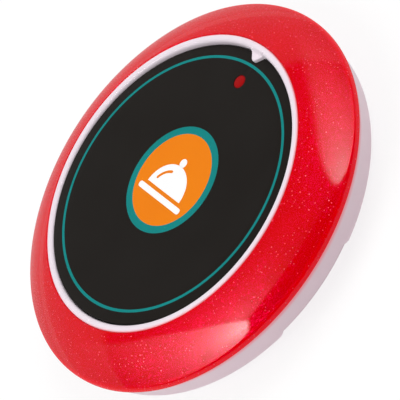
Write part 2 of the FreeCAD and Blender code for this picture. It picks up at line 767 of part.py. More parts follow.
def make_battery_door():
    body = new_body("battery_door")
    floor = base_low + size.door_floor_thick
    flange_top = base_low + size.door_flange_thick
    revolve(body, "door_section", (
        (ZERO, floor),
        (door_cup_radius, floor),
        (door_cup_radius, lug_top),
        (door_hub_radius, lug_top),
        (door_hub_radius, flange_top),
        (door_flange_radius, flange_top),
        (door_flange_radius, base_low),
        (ZERO, base_low),
    ))
    lug = grow(body, "lug", lug_low, lug_top,
               lambda sketch: draw_rectangle(
                   sketch, door_hub_radius - size.door_hub_wall * 0.5,
                   -size.lug_half_width, lug_tip, size.lug_half_width))
    repeat_around(body, "lugs", [lug], LUG_COUNT)
    half_length, half_width = size.door_slot_length * 0.5, size.door_slot_width * 0.5
    sink(body, "coin_slot", base_low - size.overrun, base_low + size.door_slot_depth,
         lambda sketch: draw_rectangle(sketch, -half_length, -half_width, half_length, half_width))
    keep(body, "battery_door")


def make_seals():
    body = new_body("door_seal")
    inner, outer = door_hub_radius + size.seat_gap, door_flange_radius - size.seat_gap
    low = base_low + size.door_flange_thick
    high = low + size.door_seal_thick
    revolve(body, "door_seal_section", ((inner, low), (inner, high), (outer, high), (outer, low)))
    keep(body, "door_seal")
    body = new_body("case_seal")
    outer = skirt_rim_radius
    inner = outer - size.seal_width
    revolve(body, "case_seal_section", ((inner, ledge_top), (inner, skirt_rim_low),
                                        (outer, skirt_rim_low), (outer, ledge_top)))
    keep(body, "case_seal")


def make_circuit_board():
    body = new_body("circuit_board")
    grow(body, "board_disc", board_low, board_top,
         lambda sketch: draw_circle(sketch, board_radius))
    place = polar(board_screw_circle_radius, ANGLES["board_screw_start_angle"])
    hole = sink(body, "board_hole", board_low - size.overrun, board_top + size.overrun,
                lambda sketch: draw_circle(sketch, size.board_screw_radius + size.screw_hole_gap,
                                           *place))
    repeat_around(body, "board_holes", [hole], BOARD_SCREW_COUNT)
    keep(body, "circuit_board")


CENTRE = (ZERO, ZERO)


def make_switch():
    """Tactile switch: body with a pit for the dome, steel frame, plunger, dome and terminals."""
    body_top = board_top + size.switch_body_height
    pit_floor = board_top + size.switch_pit_floor
    plunger_flange_radius = size.plunger_radius + size.plunger_flange_width
    pit_radius = plunger_flange_radius + size.switch_pit_gap
    sides = (size.switch_width, size.switch_width, size.switch_body_height)
    keep(cut("switch_base_cut", block("switch_base_block", sides, CENTRE, board_top),
             rod("switch_pit", pit_radius, CENTRE, pit_floor, body_top + size.overrun)),
         "switch_base")

    cover_top = body_top + size.switch_cover_thick
    plate = block("cover_plate", (size.switch_width, size.switch_width, size.switch_cover_thick),
                  CENTRE, body_top)
    rivets = []
    corner = size.switch_width * 0.5 - size.terminal_width
    for number, (across, up) in enumerate(((1, 1), (1, -1), (-1, 1), (-1, -1))):
        rivets.append(rod(f"cover_rivet_{number}", size.terminal_width * 0.6,
                          (corner * across, corner * up), body_top,
                          cover_top + size.terminal_thick))
    opening = rod("cover_opening", size.plunger_radius + size.plunger_gap, CENTRE,
                  body_top - size.overrun, cover_top + size.overrun)
    keep(cut("switch_cover_cut", join("cover_frame", [plate, *rivets]), opening), "switch_cover")

    flange_top = body_top - size.seat_gap
    flange_low = flange_top - size.plunger_flange_thick
    keep(join("plunger", [
        rod("plunger_flange", plunger_flange_radius, CENTRE, flange_low, flange_top),
        rod("plunger_shank", size.plunger_radius, CENTRE, flange_low, plunger_top)]),
        "switch_plunger")

    body = new_body("switch_dome")
    outer, rise = pit_radius - size.dome_gap, size.dome_height
    inner, inner_rise = outer - size.dome_thick * 2.0, rise - size.dome_thick
    top = pit_floor + rise
    revolve(body, "dome_section", (
        (ZERO, top - size.dome_thick,
         (inner * inner + inner_rise * inner_rise) / (inner_rise * 2.0), 1),
        (ZERO, top),
        (outer, pit_floor, (outer * outer + rise * rise) / (rise * 2.0), -1),
        (inner, pit_floor),
    ))
    keep(body, "switch_dome")

    terminals = []
    reach = (size.switch_width + size.terminal_length) * 0.5
    sides = (size.terminal_length, size.terminal_width, size.terminal_thick)
    for number, (across, up) in enumerate(((1, 1), (1, -1), (-1, 1), (-1, -1))):
        terminals.append(block(f"terminal_{number}", sides,
                               (reach * across, size.terminal_spread * up), board_top))
    keep(group("terminals", terminals), "switch_terminals")


def beside(centre, degrees, along, aside):
    """Place at a distance along and aside from a centre that is turned about Z."""
    ahead, left = polar(along, degrees), polar(aside, degrees)
    return centre[0] + ahead[0] - left[1], centre[1] + ahead[1] + left[0]


def make_chip(label, sides, centre, degrees, leads):
    """Moulded chip with rows of leads along its two long sides."""
    length, width, height = sides
    pieces = [block(f"{label}_body", sides, centre, board_top, degrees)]
    reach = (width + size.lead_length) * 0.5
    for number in range(leads):
        along = size.lead_pitch * (number - (leads - 1) / 2)
        for side in (1, -1):
            place = beside(centre, degrees, along, reach * side)
            pieces.append(block(f"{label}_lead_{number}_{side + 1}",
                                (size.lead_width, size.lead_length, size.lead_thick),
                                place, board_top, degrees))
    keep(join(f"{label}_joined", pieces), label)


def make_board_parts():
    make_chip("encoder_chip", (size.chip_length, size.chip_width, size.chip_height),
              polar(size.chip_place_radius, ANGLES["chip_angle"]), ANGLES["chip_angle"] + 90.0,
              CHIP_LEAD_COUNT)
    make_chip("radio_chip", (size.lead_pitch * RADIO_LEAD_COUNT, size.radio_length, size.radio_height),
              polar(size.radio_place_radius, ANGLES["radio_angle"]), ANGLES["radio_angle"],
              RADIO_LEAD_COUNT)

    place = polar(board_radius - size.can_inset, ANGLES["can_angle"])
    flange = (size.can_length, size.can_width, size.can_flange_thick)
    lid = (size.can_length - size.can_flange_width * 2.0,
           size.can_width - size.can_flange_width * 2.0, size.can_height)
    keep(join("can", [block("can_flange", flange, place, board_top, ANGLES["can_angle"]),
                      block("can_lid", lid, place, board_top, ANGLES["can_angle"])]),
         "saw_resonator")

    place = polar(board_radius - size.bobbin_inset, ANGLES["bobbin_angle"])
    top = board_top + size.bobbin_height
    keep(join("bobbin", [
        rod("bobbin_foot", size.bobbin_radius, place, board_top, board_top + size.bobbin_flange_thick),
        rod("bobbin_waist", size.bobbin_radius - size.bobbin_groove, place, board_top, top),
        rod("bobbin_head", size.bobbin_radius, place, top - size.bobbin_flange_thick, top)]),
        "matching_coil")

    lamp = (size.lamp_length, size.lamp_width, size.lamp_height)
    keep(block("lamp", lamp, (-size.window_aside, window_circle_radius), board_top),
         "indicator_led")

    for label, height, start, step, count in (
            ("chip_resistors", size.resistor_height, ANGLES["resistor_start_angle"],
             ANGLES["resistor_pitch_angle"], RESISTOR_COUNT),
            ("chip_capacitors", size.capacitor_height, ANGLES["capacitor_start_angle"],
             ANGLES["capacitor_pitch_angle"], CAPACITOR_COUNT)):
        pieces = []
        for number in range(count):
            degrees = start + step * number
            place = polar(size.passive_circle_radius, degrees)
            pieces.append(block(f"{label}_{number}", (size.passive_length, size.passive_width, height),
                                place, board_top, degrees))
        keep(group(f"{label}_group", pieces), label)


def make_antenna():
    """Loop of round wire around the board, held by a thicker post at each end."""
    middle = board_top + size.antenna_lift
    loop = doc.addObject("Part::Torus", "antenna_loop")
    loop.Angle3 = ANGLES["antenna_sweep_angle"]
    loop.Placement = FreeCAD.Placement(
        FreeCAD.Vector(0, 0, 0), FreeCAD.Rotation(FreeCAD.Vector(0, 0, 1), ANGLES["antenna_start_angle"]))
    bind(loop, Radius1=antenna_circle_radius, Radius2=size.antenna_wire_radius,
         Placement__Base__z=middle)
    pieces = [loop]
    for number, degrees in enumerate(
            (ANGLES["antenna_start_angle"], ANGLES["antenna_start_angle"] + ANGLES["antenna_sweep_angle"])):
        pieces.append(rod(f"antenna_post_{number}", size.antenna_wire_radius * 1.4,
                          polar(antenna_circle_radius, degrees), board_top,
                          middle + size.antenna_wire_radius * 1.2))
    keep(join("antenna", pieces), "antenna_wire")


def make_cell_and_contacts():
    body = new_body("battery_cell")
    shoulder = cell_top - size.cell_cap_height
    edge_round = size.cell_edge_round
    revolve(body, "cell_section", (
        (ZERO, cell_top),
        (size.cell_radius - size.cell_cap_step, cell_top),
        (size.cell_radius - size.cell_cap_step, shoulder),
        (size.cell_radius - edge_round, shoulder),
        (size.cell_radius, shoulder - edge_round, edge_round, -1),
        (size.cell_radius, cell_low + edge_round),
        (size.cell_radius - edge_round, cell_low, edge_round, -1),
        (ZERO, cell_low),
    ))
    keep(body, "battery_cell")

    foot_low = board_low - size.contact_thick
    inner = size.cell_radius + size.seat_gap
    middle = polar(inner + size.contact_foot_length * 0.5, ANGLES["contact_angle"])
    foot = block("side_contact_foot", (size.contact_foot_length, size.contact_width,
                                       size.contact_thick), middle, foot_low,
                 ANGLES["contact_angle"])
    middle = polar(inner + size.contact_thick * 0.5, ANGLES["contact_angle"])
    tongue = block("side_contact_tongue", (size.contact_thick, size.contact_width,
                                           size.contact_tongue + size.contact_thick), middle,
                   foot_low - size.contact_tongue, ANGLES["contact_angle"])
    keep(join("side_contact", [foot, tongue]), "positive_contact")

    leaf = block("leaf", (size.contact_leaf_length, size.contact_width, size.contact_thick),
                 CENTRE, foot_low)
    dimple = rod("leaf_dimple", size.contact_dimple_radius, CENTRE, cell_top + size.seat_gap, board_low)
    keep(join("leaf_contact", [leaf, dimple]), "negative_contact")


def make_screws(label, count, start, circle_radius, seat, screw):
    """Screws driven from below: head under the seat, shank above it, cross recess in the head."""
    radius, length, head_radius, head_thick = screw
    head_low = seat - head_thick
    pieces = []
    for number in range(count):
        degrees = start + FULL_TURN * number / count
        place = polar(circle_radius, degrees)
        name = f"{label}_{number}"
        solid = join(f"{name}_solid", [
            rod(f"{name}_head", head_radius, place, head_low, seat),
            rod(f"{name}_shank", radius, place, head_low, seat + length)])
        low = head_low - size.overrun
        depth = size.overrun + size.drive_depth
        drive = join(f"{name}_drive", [
            block(f"{name}_slot", (size.drive_length, size.drive_width, depth), place, low, degrees),
            block(f"{name}_cross", (size.drive_width, size.drive_length, depth), place, low, degrees)])
        pieces.append(cut(f"{name}_cut", solid, drive))
    keep(group(f"{label}_group", pieces), label)


def make_feet():
    pieces = []
    for number in range(FOOT_COUNT):
        place = polar(foot_circle_radius, FULL_TURN * number / FOOT_COUNT)
        bevel = doc.addObject("Part::Cone", f"foot_bevel_{number}")
        bind(bevel, Radius1=size.foot_radius - size.foot_edge_round, Radius2=size.foot_radius,
             Height=size.foot_edge_round, Placement__Base__x=place[0], Placement__Base__y=place[1])
        pad = rod(f"foot_pad_{number}", size.foot_radius, place, size.foot_edge_round,
                  base_low + size.foot_inset)
        pieces.append(join(f"foot_{number}", [bevel, pad]))
    keep(group("feet", pieces), "rubber_feet")


make_label_film()
make_button_plate()
make_led_window()
make_top_housing()
make_glitter_ring()
make_base_shell()
make_battery_door()
make_seals()
make_circuit_board()
make_switch()
make_board_parts()
make_antenna()
make_cell_and_contacts()
make_screws("case_screws", CASE_SCREW_COUNT, ANGLES["case_screw_start_angle"],
            case_screw_circle_radius, base_low + size.case_head_inset + size.case_head_thick,
            (size.case_screw_radius, size.case_screw_length, size.case_head_radius,
             size.case_head_thick))
make_screws("board_screws", BOARD_SCREW_COUNT, ANGLES["board_screw_start_angle"],
            board_screw_circle_radius, board_low,
            (size.board_screw_radius, size.board_screw_length, size.board_head_radius,
             size.board_head_thick))
make_feet()
doc.recompute()

failed = [item.Name for item in doc.Objects if "Invalid" in item.State or "Error" in item.State]
if failed:
    raise RuntimeError("failed objects: " + ", ".join(failed))
for part in parts:
    if part.Shape.isNull() or not part.Shape.isValid():
        raise RuntimeError(part.Label + " has no valid shape")
os.makedirs("parts", exist_ok=True)
for part in parts:
    part.Shape.exportStep(f"parts/{part.Label}.step")
    print(part.Label, len(part.Shape.Solids), round(part.Shape.Volume, 1))
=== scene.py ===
"""Looks of a round waiter call button: glittering red ring, white case, black push plate with its print.

Sizes are in millimetres until a mesh is made. +Z is up, the key tooth and the indicator window lie
close to +Y, the camera stands on the +X side, and the origin is the middle of the plane that the feet
stand on.
"""

import json
import math

import bmesh
import bpy
import numpy as np
from mathutils import Matrix, Vector


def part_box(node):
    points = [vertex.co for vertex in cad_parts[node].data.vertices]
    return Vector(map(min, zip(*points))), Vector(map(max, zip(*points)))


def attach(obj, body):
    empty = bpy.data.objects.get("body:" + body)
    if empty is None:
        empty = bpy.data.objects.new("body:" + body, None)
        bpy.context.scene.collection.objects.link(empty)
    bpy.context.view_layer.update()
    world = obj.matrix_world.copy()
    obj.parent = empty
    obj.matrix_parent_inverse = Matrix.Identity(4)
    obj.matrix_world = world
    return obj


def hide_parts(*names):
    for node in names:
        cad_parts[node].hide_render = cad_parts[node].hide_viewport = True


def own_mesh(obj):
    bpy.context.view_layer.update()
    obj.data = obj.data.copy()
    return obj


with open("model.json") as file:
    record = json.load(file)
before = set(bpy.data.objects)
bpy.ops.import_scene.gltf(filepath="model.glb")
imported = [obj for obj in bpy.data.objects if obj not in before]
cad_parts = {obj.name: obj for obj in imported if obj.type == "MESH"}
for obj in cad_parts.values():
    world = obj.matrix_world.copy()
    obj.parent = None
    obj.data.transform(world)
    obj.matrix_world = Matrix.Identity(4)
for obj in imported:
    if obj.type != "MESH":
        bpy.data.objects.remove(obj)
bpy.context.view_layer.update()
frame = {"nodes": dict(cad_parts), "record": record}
MM = 0.001


def node_box(node):
    """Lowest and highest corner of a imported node, in millimetres."""
    low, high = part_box(node)
    return np.array(low) / MM, np.array(high) / MM


def polar(radius, degrees):
    """Place at a radius and an angle: the radius times cosine and sine."""
    turn = math.radians(degrees)
    return radius * math.cos(turn), radius * math.sin(turn)


def around(radius, angles):
    """Places on a circle at some angles."""
    return [polar(radius, degrees) for degrees in angles]


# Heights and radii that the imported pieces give
FILM_LOW, FILM_HIGH = node_box("label_film")
RING_LOW, RING_HIGH = node_box("glitter_ring")
CASE_HIGH = node_box("top_housing")[1]
SHELL_LOW, SHELL_HIGH = node_box("base_shell")
DOOR_HIGH = node_box("battery_door")[1]
FEET_HIGH = node_box("rubber_feet")[1]
SCREWS_LOW, SCREWS_HIGH = node_box("case_screws")

RING_OUTER, RING_TOP, RING_BOTTOM = RING_HIGH[0], RING_HIGH[2], RING_LOW[2]
BEZEL_TOP = CASE_HIGH[2]
RIM_RADIUS = CASE_HIGH[0]
SHELL_RADIUS, SHELL_BOTTOM, SHELL_TOP = SHELL_HIGH[0], SHELL_LOW[2], SHELL_HIGH[2]

# Push plate with its film, which lie a little lower on one side
FILM_THICK = 0.25
FILM_RADIUS = FILM_HIGH[0]
FILM_TOP = (FILM_LOW[2] + FILM_HIGH[2] + FILM_THICK) / 2
FILM_BOTTOM = FILM_TOP - FILM_THICK
PLATE_BOTTOM = FILM_BOTTOM - 0.9
PLATE_LOW_ANGLE = 70.0
PLATE_LEAN = math.asin((FILM_HIGH[2] - FILM_LOW[2] - FILM_THICK) / 2 / FILM_RADIUS)

# Ring section
RING_INNER = 26.65
RING_INNER_HEIGHT = 1.84
RING_EDGE_ROUND = 0.15
CROWN_RADIUS = 21.3
SHOULDER_RADIUS, SHOULDER_HEIGHT = RING_OUTER - 0.347, 8.04
CORNER_RADIUS = 1.0
LIP_TOP = RING_BOTTOM + 0.45
LIP_WIDTH = 1.75
LIP_ROUND = 0.12

# Bezel and the rest of the upper case
BEZEL_INNER, BEZEL_OUTER = 25.3, 26.6
BEZEL_INNER_ROUND, BEZEL_OUTER_ROUND = 0.65, 0.3
BEZEL_FLAT = 26.1
DECK_LOW, DECK_TOP = 8.9, 9.7
DECK_OPENING = 6.0
SKIRT_INNER_HEIGHT, SKIRT_RIM_HEIGHT = 10.425, 7.386
SKIRT_RIM_LOW, SKIRT_UNDER = 5.603, 6.583
SKIRT_RIM_WIDTH = 1.3
BOARD_TOP = 6.9
TOOTH_TIP = 23.68
TOOTH_HALF_WIDTH = 1.78
TOOTH_NOSE_HALF_WIDTH, TOOTH_NOSE_DEPTH = 0.62, 0.34
TOOTH_TOP, TOOTH_ASIDE = 11.8, 0.55
TOOTH_GAP = 0.15
TOOTH_EDGE_ROUND = 0.25
TOOTH_ROOT_BLEND = 0.32
TOOTH_START, TOOTH_END, TOOTH_REACH = 85.0, 98.0, 20.0
TOOTH_NARROWING, TOOTH_NOSE_GAP_SHARE = 1.04, 0.7
TOOTH_CHANGE, TOOTH_SLOPE_START, TOOTH_SLOPE_LENGTH = 0.5, 25.0, 0.7

# Indicator window and the hole under it
WINDOW_CENTRE = (-0.7, 19.73)
WINDOW_RADIUS = 1.2
WINDOW_FLANGE_RADIUS, WINDOW_FLANGE_THICK = 1.8, 0.5
WINDOW_GAP = 0.04
WINDOW_DROP, WINDOW_CROWN_RADIUS, WINDOW_CROWN_DROP = 0.05, 0.5, 0.01
LAMP_HOLE_RADIUS = 2.6

# Fixings, which stand on circles
CASE_SCREW_ANGLES = (45, 135, 225, 315)
CASE_SCREWS = around(28.2, CASE_SCREW_ANGLES)
BOARD_SCREWS = around(20.0, (60, 180, 300))
FEET = around(22.0, (0, 90, 180, 270))
HOOK_CIRCLE, HOOK_ANGLES = 22.0, (0, 120, 240)
HOOK_SLOT_LENGTH, HOOK_SLOT_WIDTH = 1.4, 4.4
FOOT_RADIUS, FOOT_POCKET_RADIUS, FOOT_POCKET_DEPTH = 3.5, 3.55, 0.4
POST_RADIUS = 2.2
BOARD_POST_HOLE, BOARD_POST_HOLE_TOP = 0.83, DECK_LOW + 0.1
CASE_POST_HOLE, CASE_POST_HOLE_TOP, CASE_POST_TOP = 1.03, 7.7, 7.9
SCREW_HEAD_RADIUS, SCREW_HEAD_THICK, SCREW_SHANK_RADIUS = 1.9, 1.2, 1.0
SCREW_TIP_LENGTH, SCREW_TIP_RADIUS, SCREW_HEAD_ROUND = 0.6, 0.35, 0.35
SCREW_CROSS_LENGTH, SCREW_CROSS_WIDTH, SCREW_CROSS_DEPTH = 2.2, 0.5, 0.6
SCREW_HEAD_HOLE, SCREW_SEAT, SCREW_SHANK_HOLE = 2.05, 2.2, 1.15

# Base shell
WALL_FOOT_RADIUS = SHELL_RADIUS - 1.3
FOOT_FLAT = 30.5
WALL_TOP = 6.783
WALL_TOP_ROUND, WALL_FOOT_ROUND, FLOOR_ROUND = 0.12, 2.2, 0.4
OPENING_ROUND, BORE_ROUND = 0.25, 0.15
WALL_INNER, WALL_LEDGE, WALL_FOOT_INNER = 32.85, 31.3, 30.6
LEDGE_HEIGHT = 5.003
FLOOR_TOP = 2.8
SHELL_POST_TOP, CASE_POST_LOW = FLOOR_TOP + 0.6, FLOOR_TOP + 0.65
STOP_LOW, STOP_TOP = FLOOR_TOP - 0.5, FLOOR_TOP + 0.9
RECESS_BACK, RECESS_TOP = 31.7, 2.57
RECESS_LOW_HALF, RECESS_TOP_HALF = 9.6, 8.1
RECESS_SIDE_SOFTNESS, RECESS_ROOF_SOFTNESS = 0.22, 0.14
RECESS_CORNER_ANGLES = (16.0, 164.0, 196.0, 344.0)
RECESS_CORNER_SPAN, RECESS_CORNER_STEP = 3.0, 0.25
DOOR_OPENING, DOOR_BORE, DOOR_STEP = 13.7, 12.0, 1.9

# Rows of the outer wall: wide apart down to one height, and close together below another, where the
# recesses are
WALL_STEP, ROUGH_END = 0.5, 3.3
RECESS_STEP, FINE_START = 0.05, 3.2

# Battery door: its lugs turn from the stops, where they stand at rest, to the notches
DOOR_FLANGE, DOOR_HUB, DOOR_CUP = 13.5, 11.85, 10.6
DOOR_FLANGE_THICK, DOOR_FLOOR_THICK = 0.8, 1.4
DOOR_TURN = 40
LUG_ANGLES = (0, 120, 240)
LUG_CIRCLE, LUG_LENGTH, LUG_WIDTH, LUG_GAP = 12.25, 2.0, 5.0, 0.05
NOTCH_CIRCLE, NOTCH_LENGTH, NOTCH_WIDTH = 12.2, 2.6, 5.5
STOP_CIRCLE, STOP_ASIDE, STOP_LENGTH, STOP_WIDTH = 12.75, 3.15, 1.05, 1.2
COIN_SLOT_LENGTH, COIN_SLOT_WIDTH, COIN_SLOT_DEPTH, COIN_SLOT_ROUND = 12.0, 1.8, 0.7, 0.35

# Print on the film
INK = 0.02
THIN_RING_RADIUS, THIN_RING_WIDTH = 22.935, 0.5
DISC_CENTRE = (0.02, 0.44)
DISC_MIDDLE, DISC_RADIUS, DISC_RING_RADIUS = 2.0, 8.29, 9.63
DISH_CENTRE, DISH_RADIUS = (0.0, -2.35), 4.9
KNOB_CENTRE, KNOB_RADIUS, KNOB_SPAN = (0.0, 3.2), 0.8, (-60, 240)
TRAY_CENTRE, TRAY_LENGTH, TRAY_THICK, TRAY_ROUND = (0.0, -3.55), 12.6, 1.05, 0.5
GLEAM_RADIUS, GLEAM_WIDTH, GLEAM_SPAN = 3.55, 0.5, (108, 158)

# Steps of the turned surfaces, and the angle up to which a piece is shaded smooth, in degrees
COARSE_STEP, FINE_STEP = 1.25, 0.1
COVER_STEP, SMALL_STEP, SCREW_STEP = 2.0, 5.0, 7.5
CREASE_ANGLE = 32.0

# Small rounds, how far a cut or a post goes past a surface, and how near a section comes to its axis
FINE_ROUND, SMALL_ROUND, SOFT_ROUND, BROAD_ROUND = 0.05, 0.1, 0.2, 0.3
OVERRUN, OVERLAP = 1.0, 0.3
NEAR_AXIS = 0.01


def arc(centre, radius, start, end, steps):
    """Points on a circle between two angles in degrees: centre plus radius times cosine and sine."""
    turn = np.radians(np.linspace(start, end, steps))
    return np.stack([centre[0] + radius * np.cos(turn), centre[1] + radius * np.sin(turn)], axis=1)


def bulge(start, end, radius, steps):
    """Arc from start to end that turns right, its centre a radius from both ends."""
    start, end = np.array(start, float), np.array(end, float)
    chord = end - start
    half = np.hypot(*chord) / 2
    aside = np.array([chord[1], -chord[0]]) / (2 * half)
    centre = (start + end) / 2 + aside * math.sqrt(radius * radius - half * half)
    first = math.degrees(math.atan2(*(start - centre)[::-1]))
    last = math.degrees(math.atan2(*(end - centre)[::-1]))
    sweep = (last - first + 180) % 360 - 180
    return arc(centre, radius, first, first + sweep, steps)


def rounded(corners, closed=False, steps=7):
    """Outline through corners of (across, up, radius). A rounded corner is an arc that touches both
    sides, with one more point on each side close to it, so that flat faces shade flat."""
    support = 0.03
    places = np.array([corner[:2] for corner in corners], float)
    made = []
    for index, (across, up, radius) in enumerate(corners):
        here = places[index]
        if radius == 0 or (not closed and index in (0, len(corners) - 1)):
            made.append(here[None])
            continue
        back = places[index - 1] - here
        ahead = places[(index + 1) % len(corners)] - here
        back, ahead = back / np.hypot(*back), ahead / np.hypot(*ahead)
        half = math.acos(np.clip(back @ ahead, -1, 1)) / 2
        reach = radius / math.tan(half)
        middle = (back + ahead) / np.hypot(*(back + ahead))
        centre = here + middle * radius / math.sin(half)
        first, last = here + back * reach - centre, here + ahead * reach - centre
        sweep = math.pi - 2 * half
        share = np.linspace(0, 1, steps)[:, None]
        turned = (np.sin((1 - share) * sweep) * first + np.sin(share * sweep) * last) / math.sin(sweep)
        made += [(here + back * (reach + support))[None], centre + turned,
                 (here + ahead * (reach + support))[None]]
    return np.concatenate(made)


def even_angles(step=COARSE_STEP):
    """Angles all round in even steps."""
    return np.arange(0, 360, step)


def angles_with(fine_spans):
    """Angles all round in coarse steps, with fine steps inside each (start, end, step) span."""
    angles = even_angles()
    for start, end, step in fine_spans:
        angles = angles[(angles < start) | (angles > end)]
        angles = np.concatenate([angles, np.arange(start, end + step / 2, step)])
    return np.unique(np.round(angles % 360, 4))


def turned(profile, angles, centre=(0.0, 0.0)):
    """Grid of a (radius, height) profile turned around an upright axis: x and y are the radius times
    cosine and sine. A profile may have its own row for each angle."""
    profile = np.broadcast_to(profile, (len(angles), *np.shape(profile)[-2:]))
    turn = np.radians(angles)[:, None]
    radius, height = profile[..., 0], profile[..., 1]
    return np.stack([centre[0] + radius * np.cos(turn), centre[1] + radius * np.sin(turn), height],
                    axis=-1)


def grid_faces(rows, columns, wrap_columns=True):
    """Quads of a grid whose last row joins the first, and whose columns do so where they wrap."""
    row, column = np.meshgrid(np.arange(rows), np.arange(columns - (not wrap_columns)), indexing="ij")
    after, beside = (row + 1) % rows, (column + 1) % columns
    quads = np.stack([row * columns + column, after * columns + column,
                      after * columns + beside, row * columns + beside], axis=-1)
    return quads.reshape(-1, 4).tolist()


def closed_ring(profile, angles, centre=(0.0, 0.0)):
    """Points and faces of a closed profile turned all round, like a tyre."""
    points = turned(profile, angles, centre)
    return points.reshape(-1, 3), grid_faces(*points.shape[:2])


def closed_disc(profile, angles, centre=(0.0, 0.0)):
    """Points and faces of an open profile turned all round, closed by a point on the axis at the
    height of each of its ends."""
    points = turned(profile, angles, centre)
    rows, columns = points.shape[:2]
    first, last = rows * columns, rows * columns + 1
    poles = [(*centre, points[0, 0, 2]), (*centre, points[0, -1, 2])]
    faces = grid_faces(rows, columns, wrap_columns=False)
    row = np.arange(rows)
    after = (row + 1) % rows
    faces += np.stack([np.full(rows, first), after * columns, row * columns], axis=1).tolist()
    faces += np.stack([np.full(rows, last), row * columns + columns - 1,
                       after * columns + columns - 1], axis=1).tolist()
    return np.concatenate([points.reshape(-1, 3), poles]), faces


def slab(outline, low, high):
    """Points and faces of a flat closed outline raised from one height to another, with its two
    lids as single faces."""
    count = len(outline)
    levels = [np.column_stack([outline, np.full(count, height)]) for height in (low, high)]
    here = np.arange(count)
    after = (here + 1) % count
    sides = np.stack([here, after, after + count, here + count], axis=1).tolist()
    return np.concatenate(levels), sides + [here[::-1].tolist(), (here + count).tolist()]


def several(shapes):
    """Points and faces of several closed shapes as one list."""
    points, faces, count = [], [], 0
    for shape_points, shape_faces in shapes:
        points.append(shape_points)
        faces += [[corner + count for corner in face] for face in shape_faces]
        count += len(shape_points)
    return np.concatenate(points), faces


def spun(outline, degrees):
    """Outline turned about the origin."""
    turn = math.radians(degrees)
    return outline @ np.array([[math.cos(turn), math.sin(turn)], [-math.sin(turn), math.cos(turn)]])


def leaned(shape):
    """A shape on the push plate, turned with the plate about the middle of the film's top, so that
    the side at the plate's low angle goes down."""
    points, faces = shape
    level_line = Vector((*polar(1.0, PLATE_LOW_ANGLE + 90), 0.0))
    turn = np.array(Matrix.Rotation(PLATE_LEAN, 3, level_line))
    middle = np.array([0.0, 0.0, FILM_TOP])
    return (np.asarray(points) - middle) @ turn.T + middle, faces


def box_outline(length, width, centre=(0.0, 0.0), degrees=0.0, corner=0.0):
    """Rectangle of a length and width about a centre, turned, with rounded corners if asked."""
    half_length, half_width = length / 2, width / 2
    outline = rounded([(-half_length, -half_width, corner), (half_length, -half_width, corner),
                       (half_length, half_width, corner), (-half_length, half_width, corner)],
                      closed=True)
    return spun(outline, degrees) + centre


def new_object(name, data):
    """Object of a mesh, lamp or camera, in the scene."""
    made = bpy.data.objects.new(name, data)
    bpy.context.scene.collection.objects.link(made)
    return made


def flat_square(name, half):
    """Level square about the origin, as one face."""
    mesh = bpy.data.meshes.new(name)
    mesh.from_pydata([(-half, -half, 0), (half, -half, 0), (half, half, 0), (-half, half, 0)],
                     [], [(0, 1, 2, 3)])
    return new_object(name, mesh)


def make_mesh(name, shape):
    """Mesh object of points in millimetres and faces, its faces pointing outwards."""
    points, faces = shape
    mesh = bpy.data.meshes.new(name)
    mesh.from_pydata((np.asarray(points) * MM).tolist(), [], faces)
    work = bmesh.new()
    work.from_mesh(mesh)
    if work.calc_volume(signed=True) < 0:
        bmesh.ops.reverse_faces(work, faces=work.faces)
    work.to_mesh(mesh)
    work.free()
    return new_object(name, mesh)


def work_on(piece, shapes, operation):
    """Cut shapes from a piece, or join them to it, as closed solids."""
    tool = make_mesh("tool", several(shapes))
    modifier = piece.modifiers.new("work", "BOOLEAN")
    modifier.operation, modifier.solver, modifier.object = operation, "EXACT", tool
    graph = bpy.context.evaluated_depsgraph_get()
    result = bpy.data.meshes.new_from_object(piece.evaluated_get(graph))
    piece.modifiers.clear()
    old, piece.data = piece.data, result
    result.name = piece.name
    bpy.data.meshes.remove(old)
    tool_mesh = tool.data
    bpy.data.objects.remove(tool)
    bpy.data.meshes.remove(tool_mesh)


def finish_piece(piece, body, slot, *stands_for, finish=None):
    """Shade a piece smooth up to an angle, give it the finish of its slot or another one, and let it
    ride on its body."""
    mesh = piece.data
    mesh.polygons.foreach_set("use_smooth", np.ones(len(mesh.polygons), bool))
    mesh.set_sharp_from_angle(angle=math.radians(CREASE_ANGLE))
    mesh.materials.clear()
    mesh.materials.append(FINISHES[finish or slot])
    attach(piece, body)
    if stands_for:
        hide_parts(*stands_for)


# Finishes

# Painted pink light bounced from the red ring onto the white plastics: how far below the base shell's top
# it starts and where it is full, and how far inside and outside the bezel's outer edge it rises, in
# millimetres
PAINTED_BOUNCE_REACH, PAINTED_BOUNCE_FULL = 1.4, 0.3
BEZEL_PAINTED_BOUNCE_INSIDE, BEZEL_PAINTED_BOUNCE_OUTSIDE = 0.4, 0.1
# Heights on the red ring below which its red is painted lighter, as painted light on the rim that faces
# away from the lamps
RIM_PAINTED_LIGHT_LOW, RIM_PAINTED_LIGHT_HIGH = 7.6, 8.4
CLEAR_COAT = 0.45
FLAKE_SIZE, FLAKE_RADIUS_SHARE, FLAKE_RARITY = 0.5, 0.2, (0.35, 0.9)
DUST_SIZE, DUST_RADIUS_SHARE, DUST_RARITY = 0.09, 0.34, 0.3
FLAKE_TILT, DUST_TILT = 0.9, 0.4
FLAKE_METAL = 0.4
PLAIN_ROUGHNESS, GLITTER_ROUGHNESS = 0.6, 0.34
FINISHES = {}


def new_finish(name, **plain):
    """Principled shader of a new material, which FINISHES keeps. Plain sockets are set by name."""
    material = bpy.data.materials.new(name)
    material.use_nodes = True
    FINISHES[name] = material
    shader = material.node_tree.nodes["Principled BSDF"]
    for socket, value in plain.items():
        shader.inputs[socket.replace("_", " ")].default_value = value
    return shader


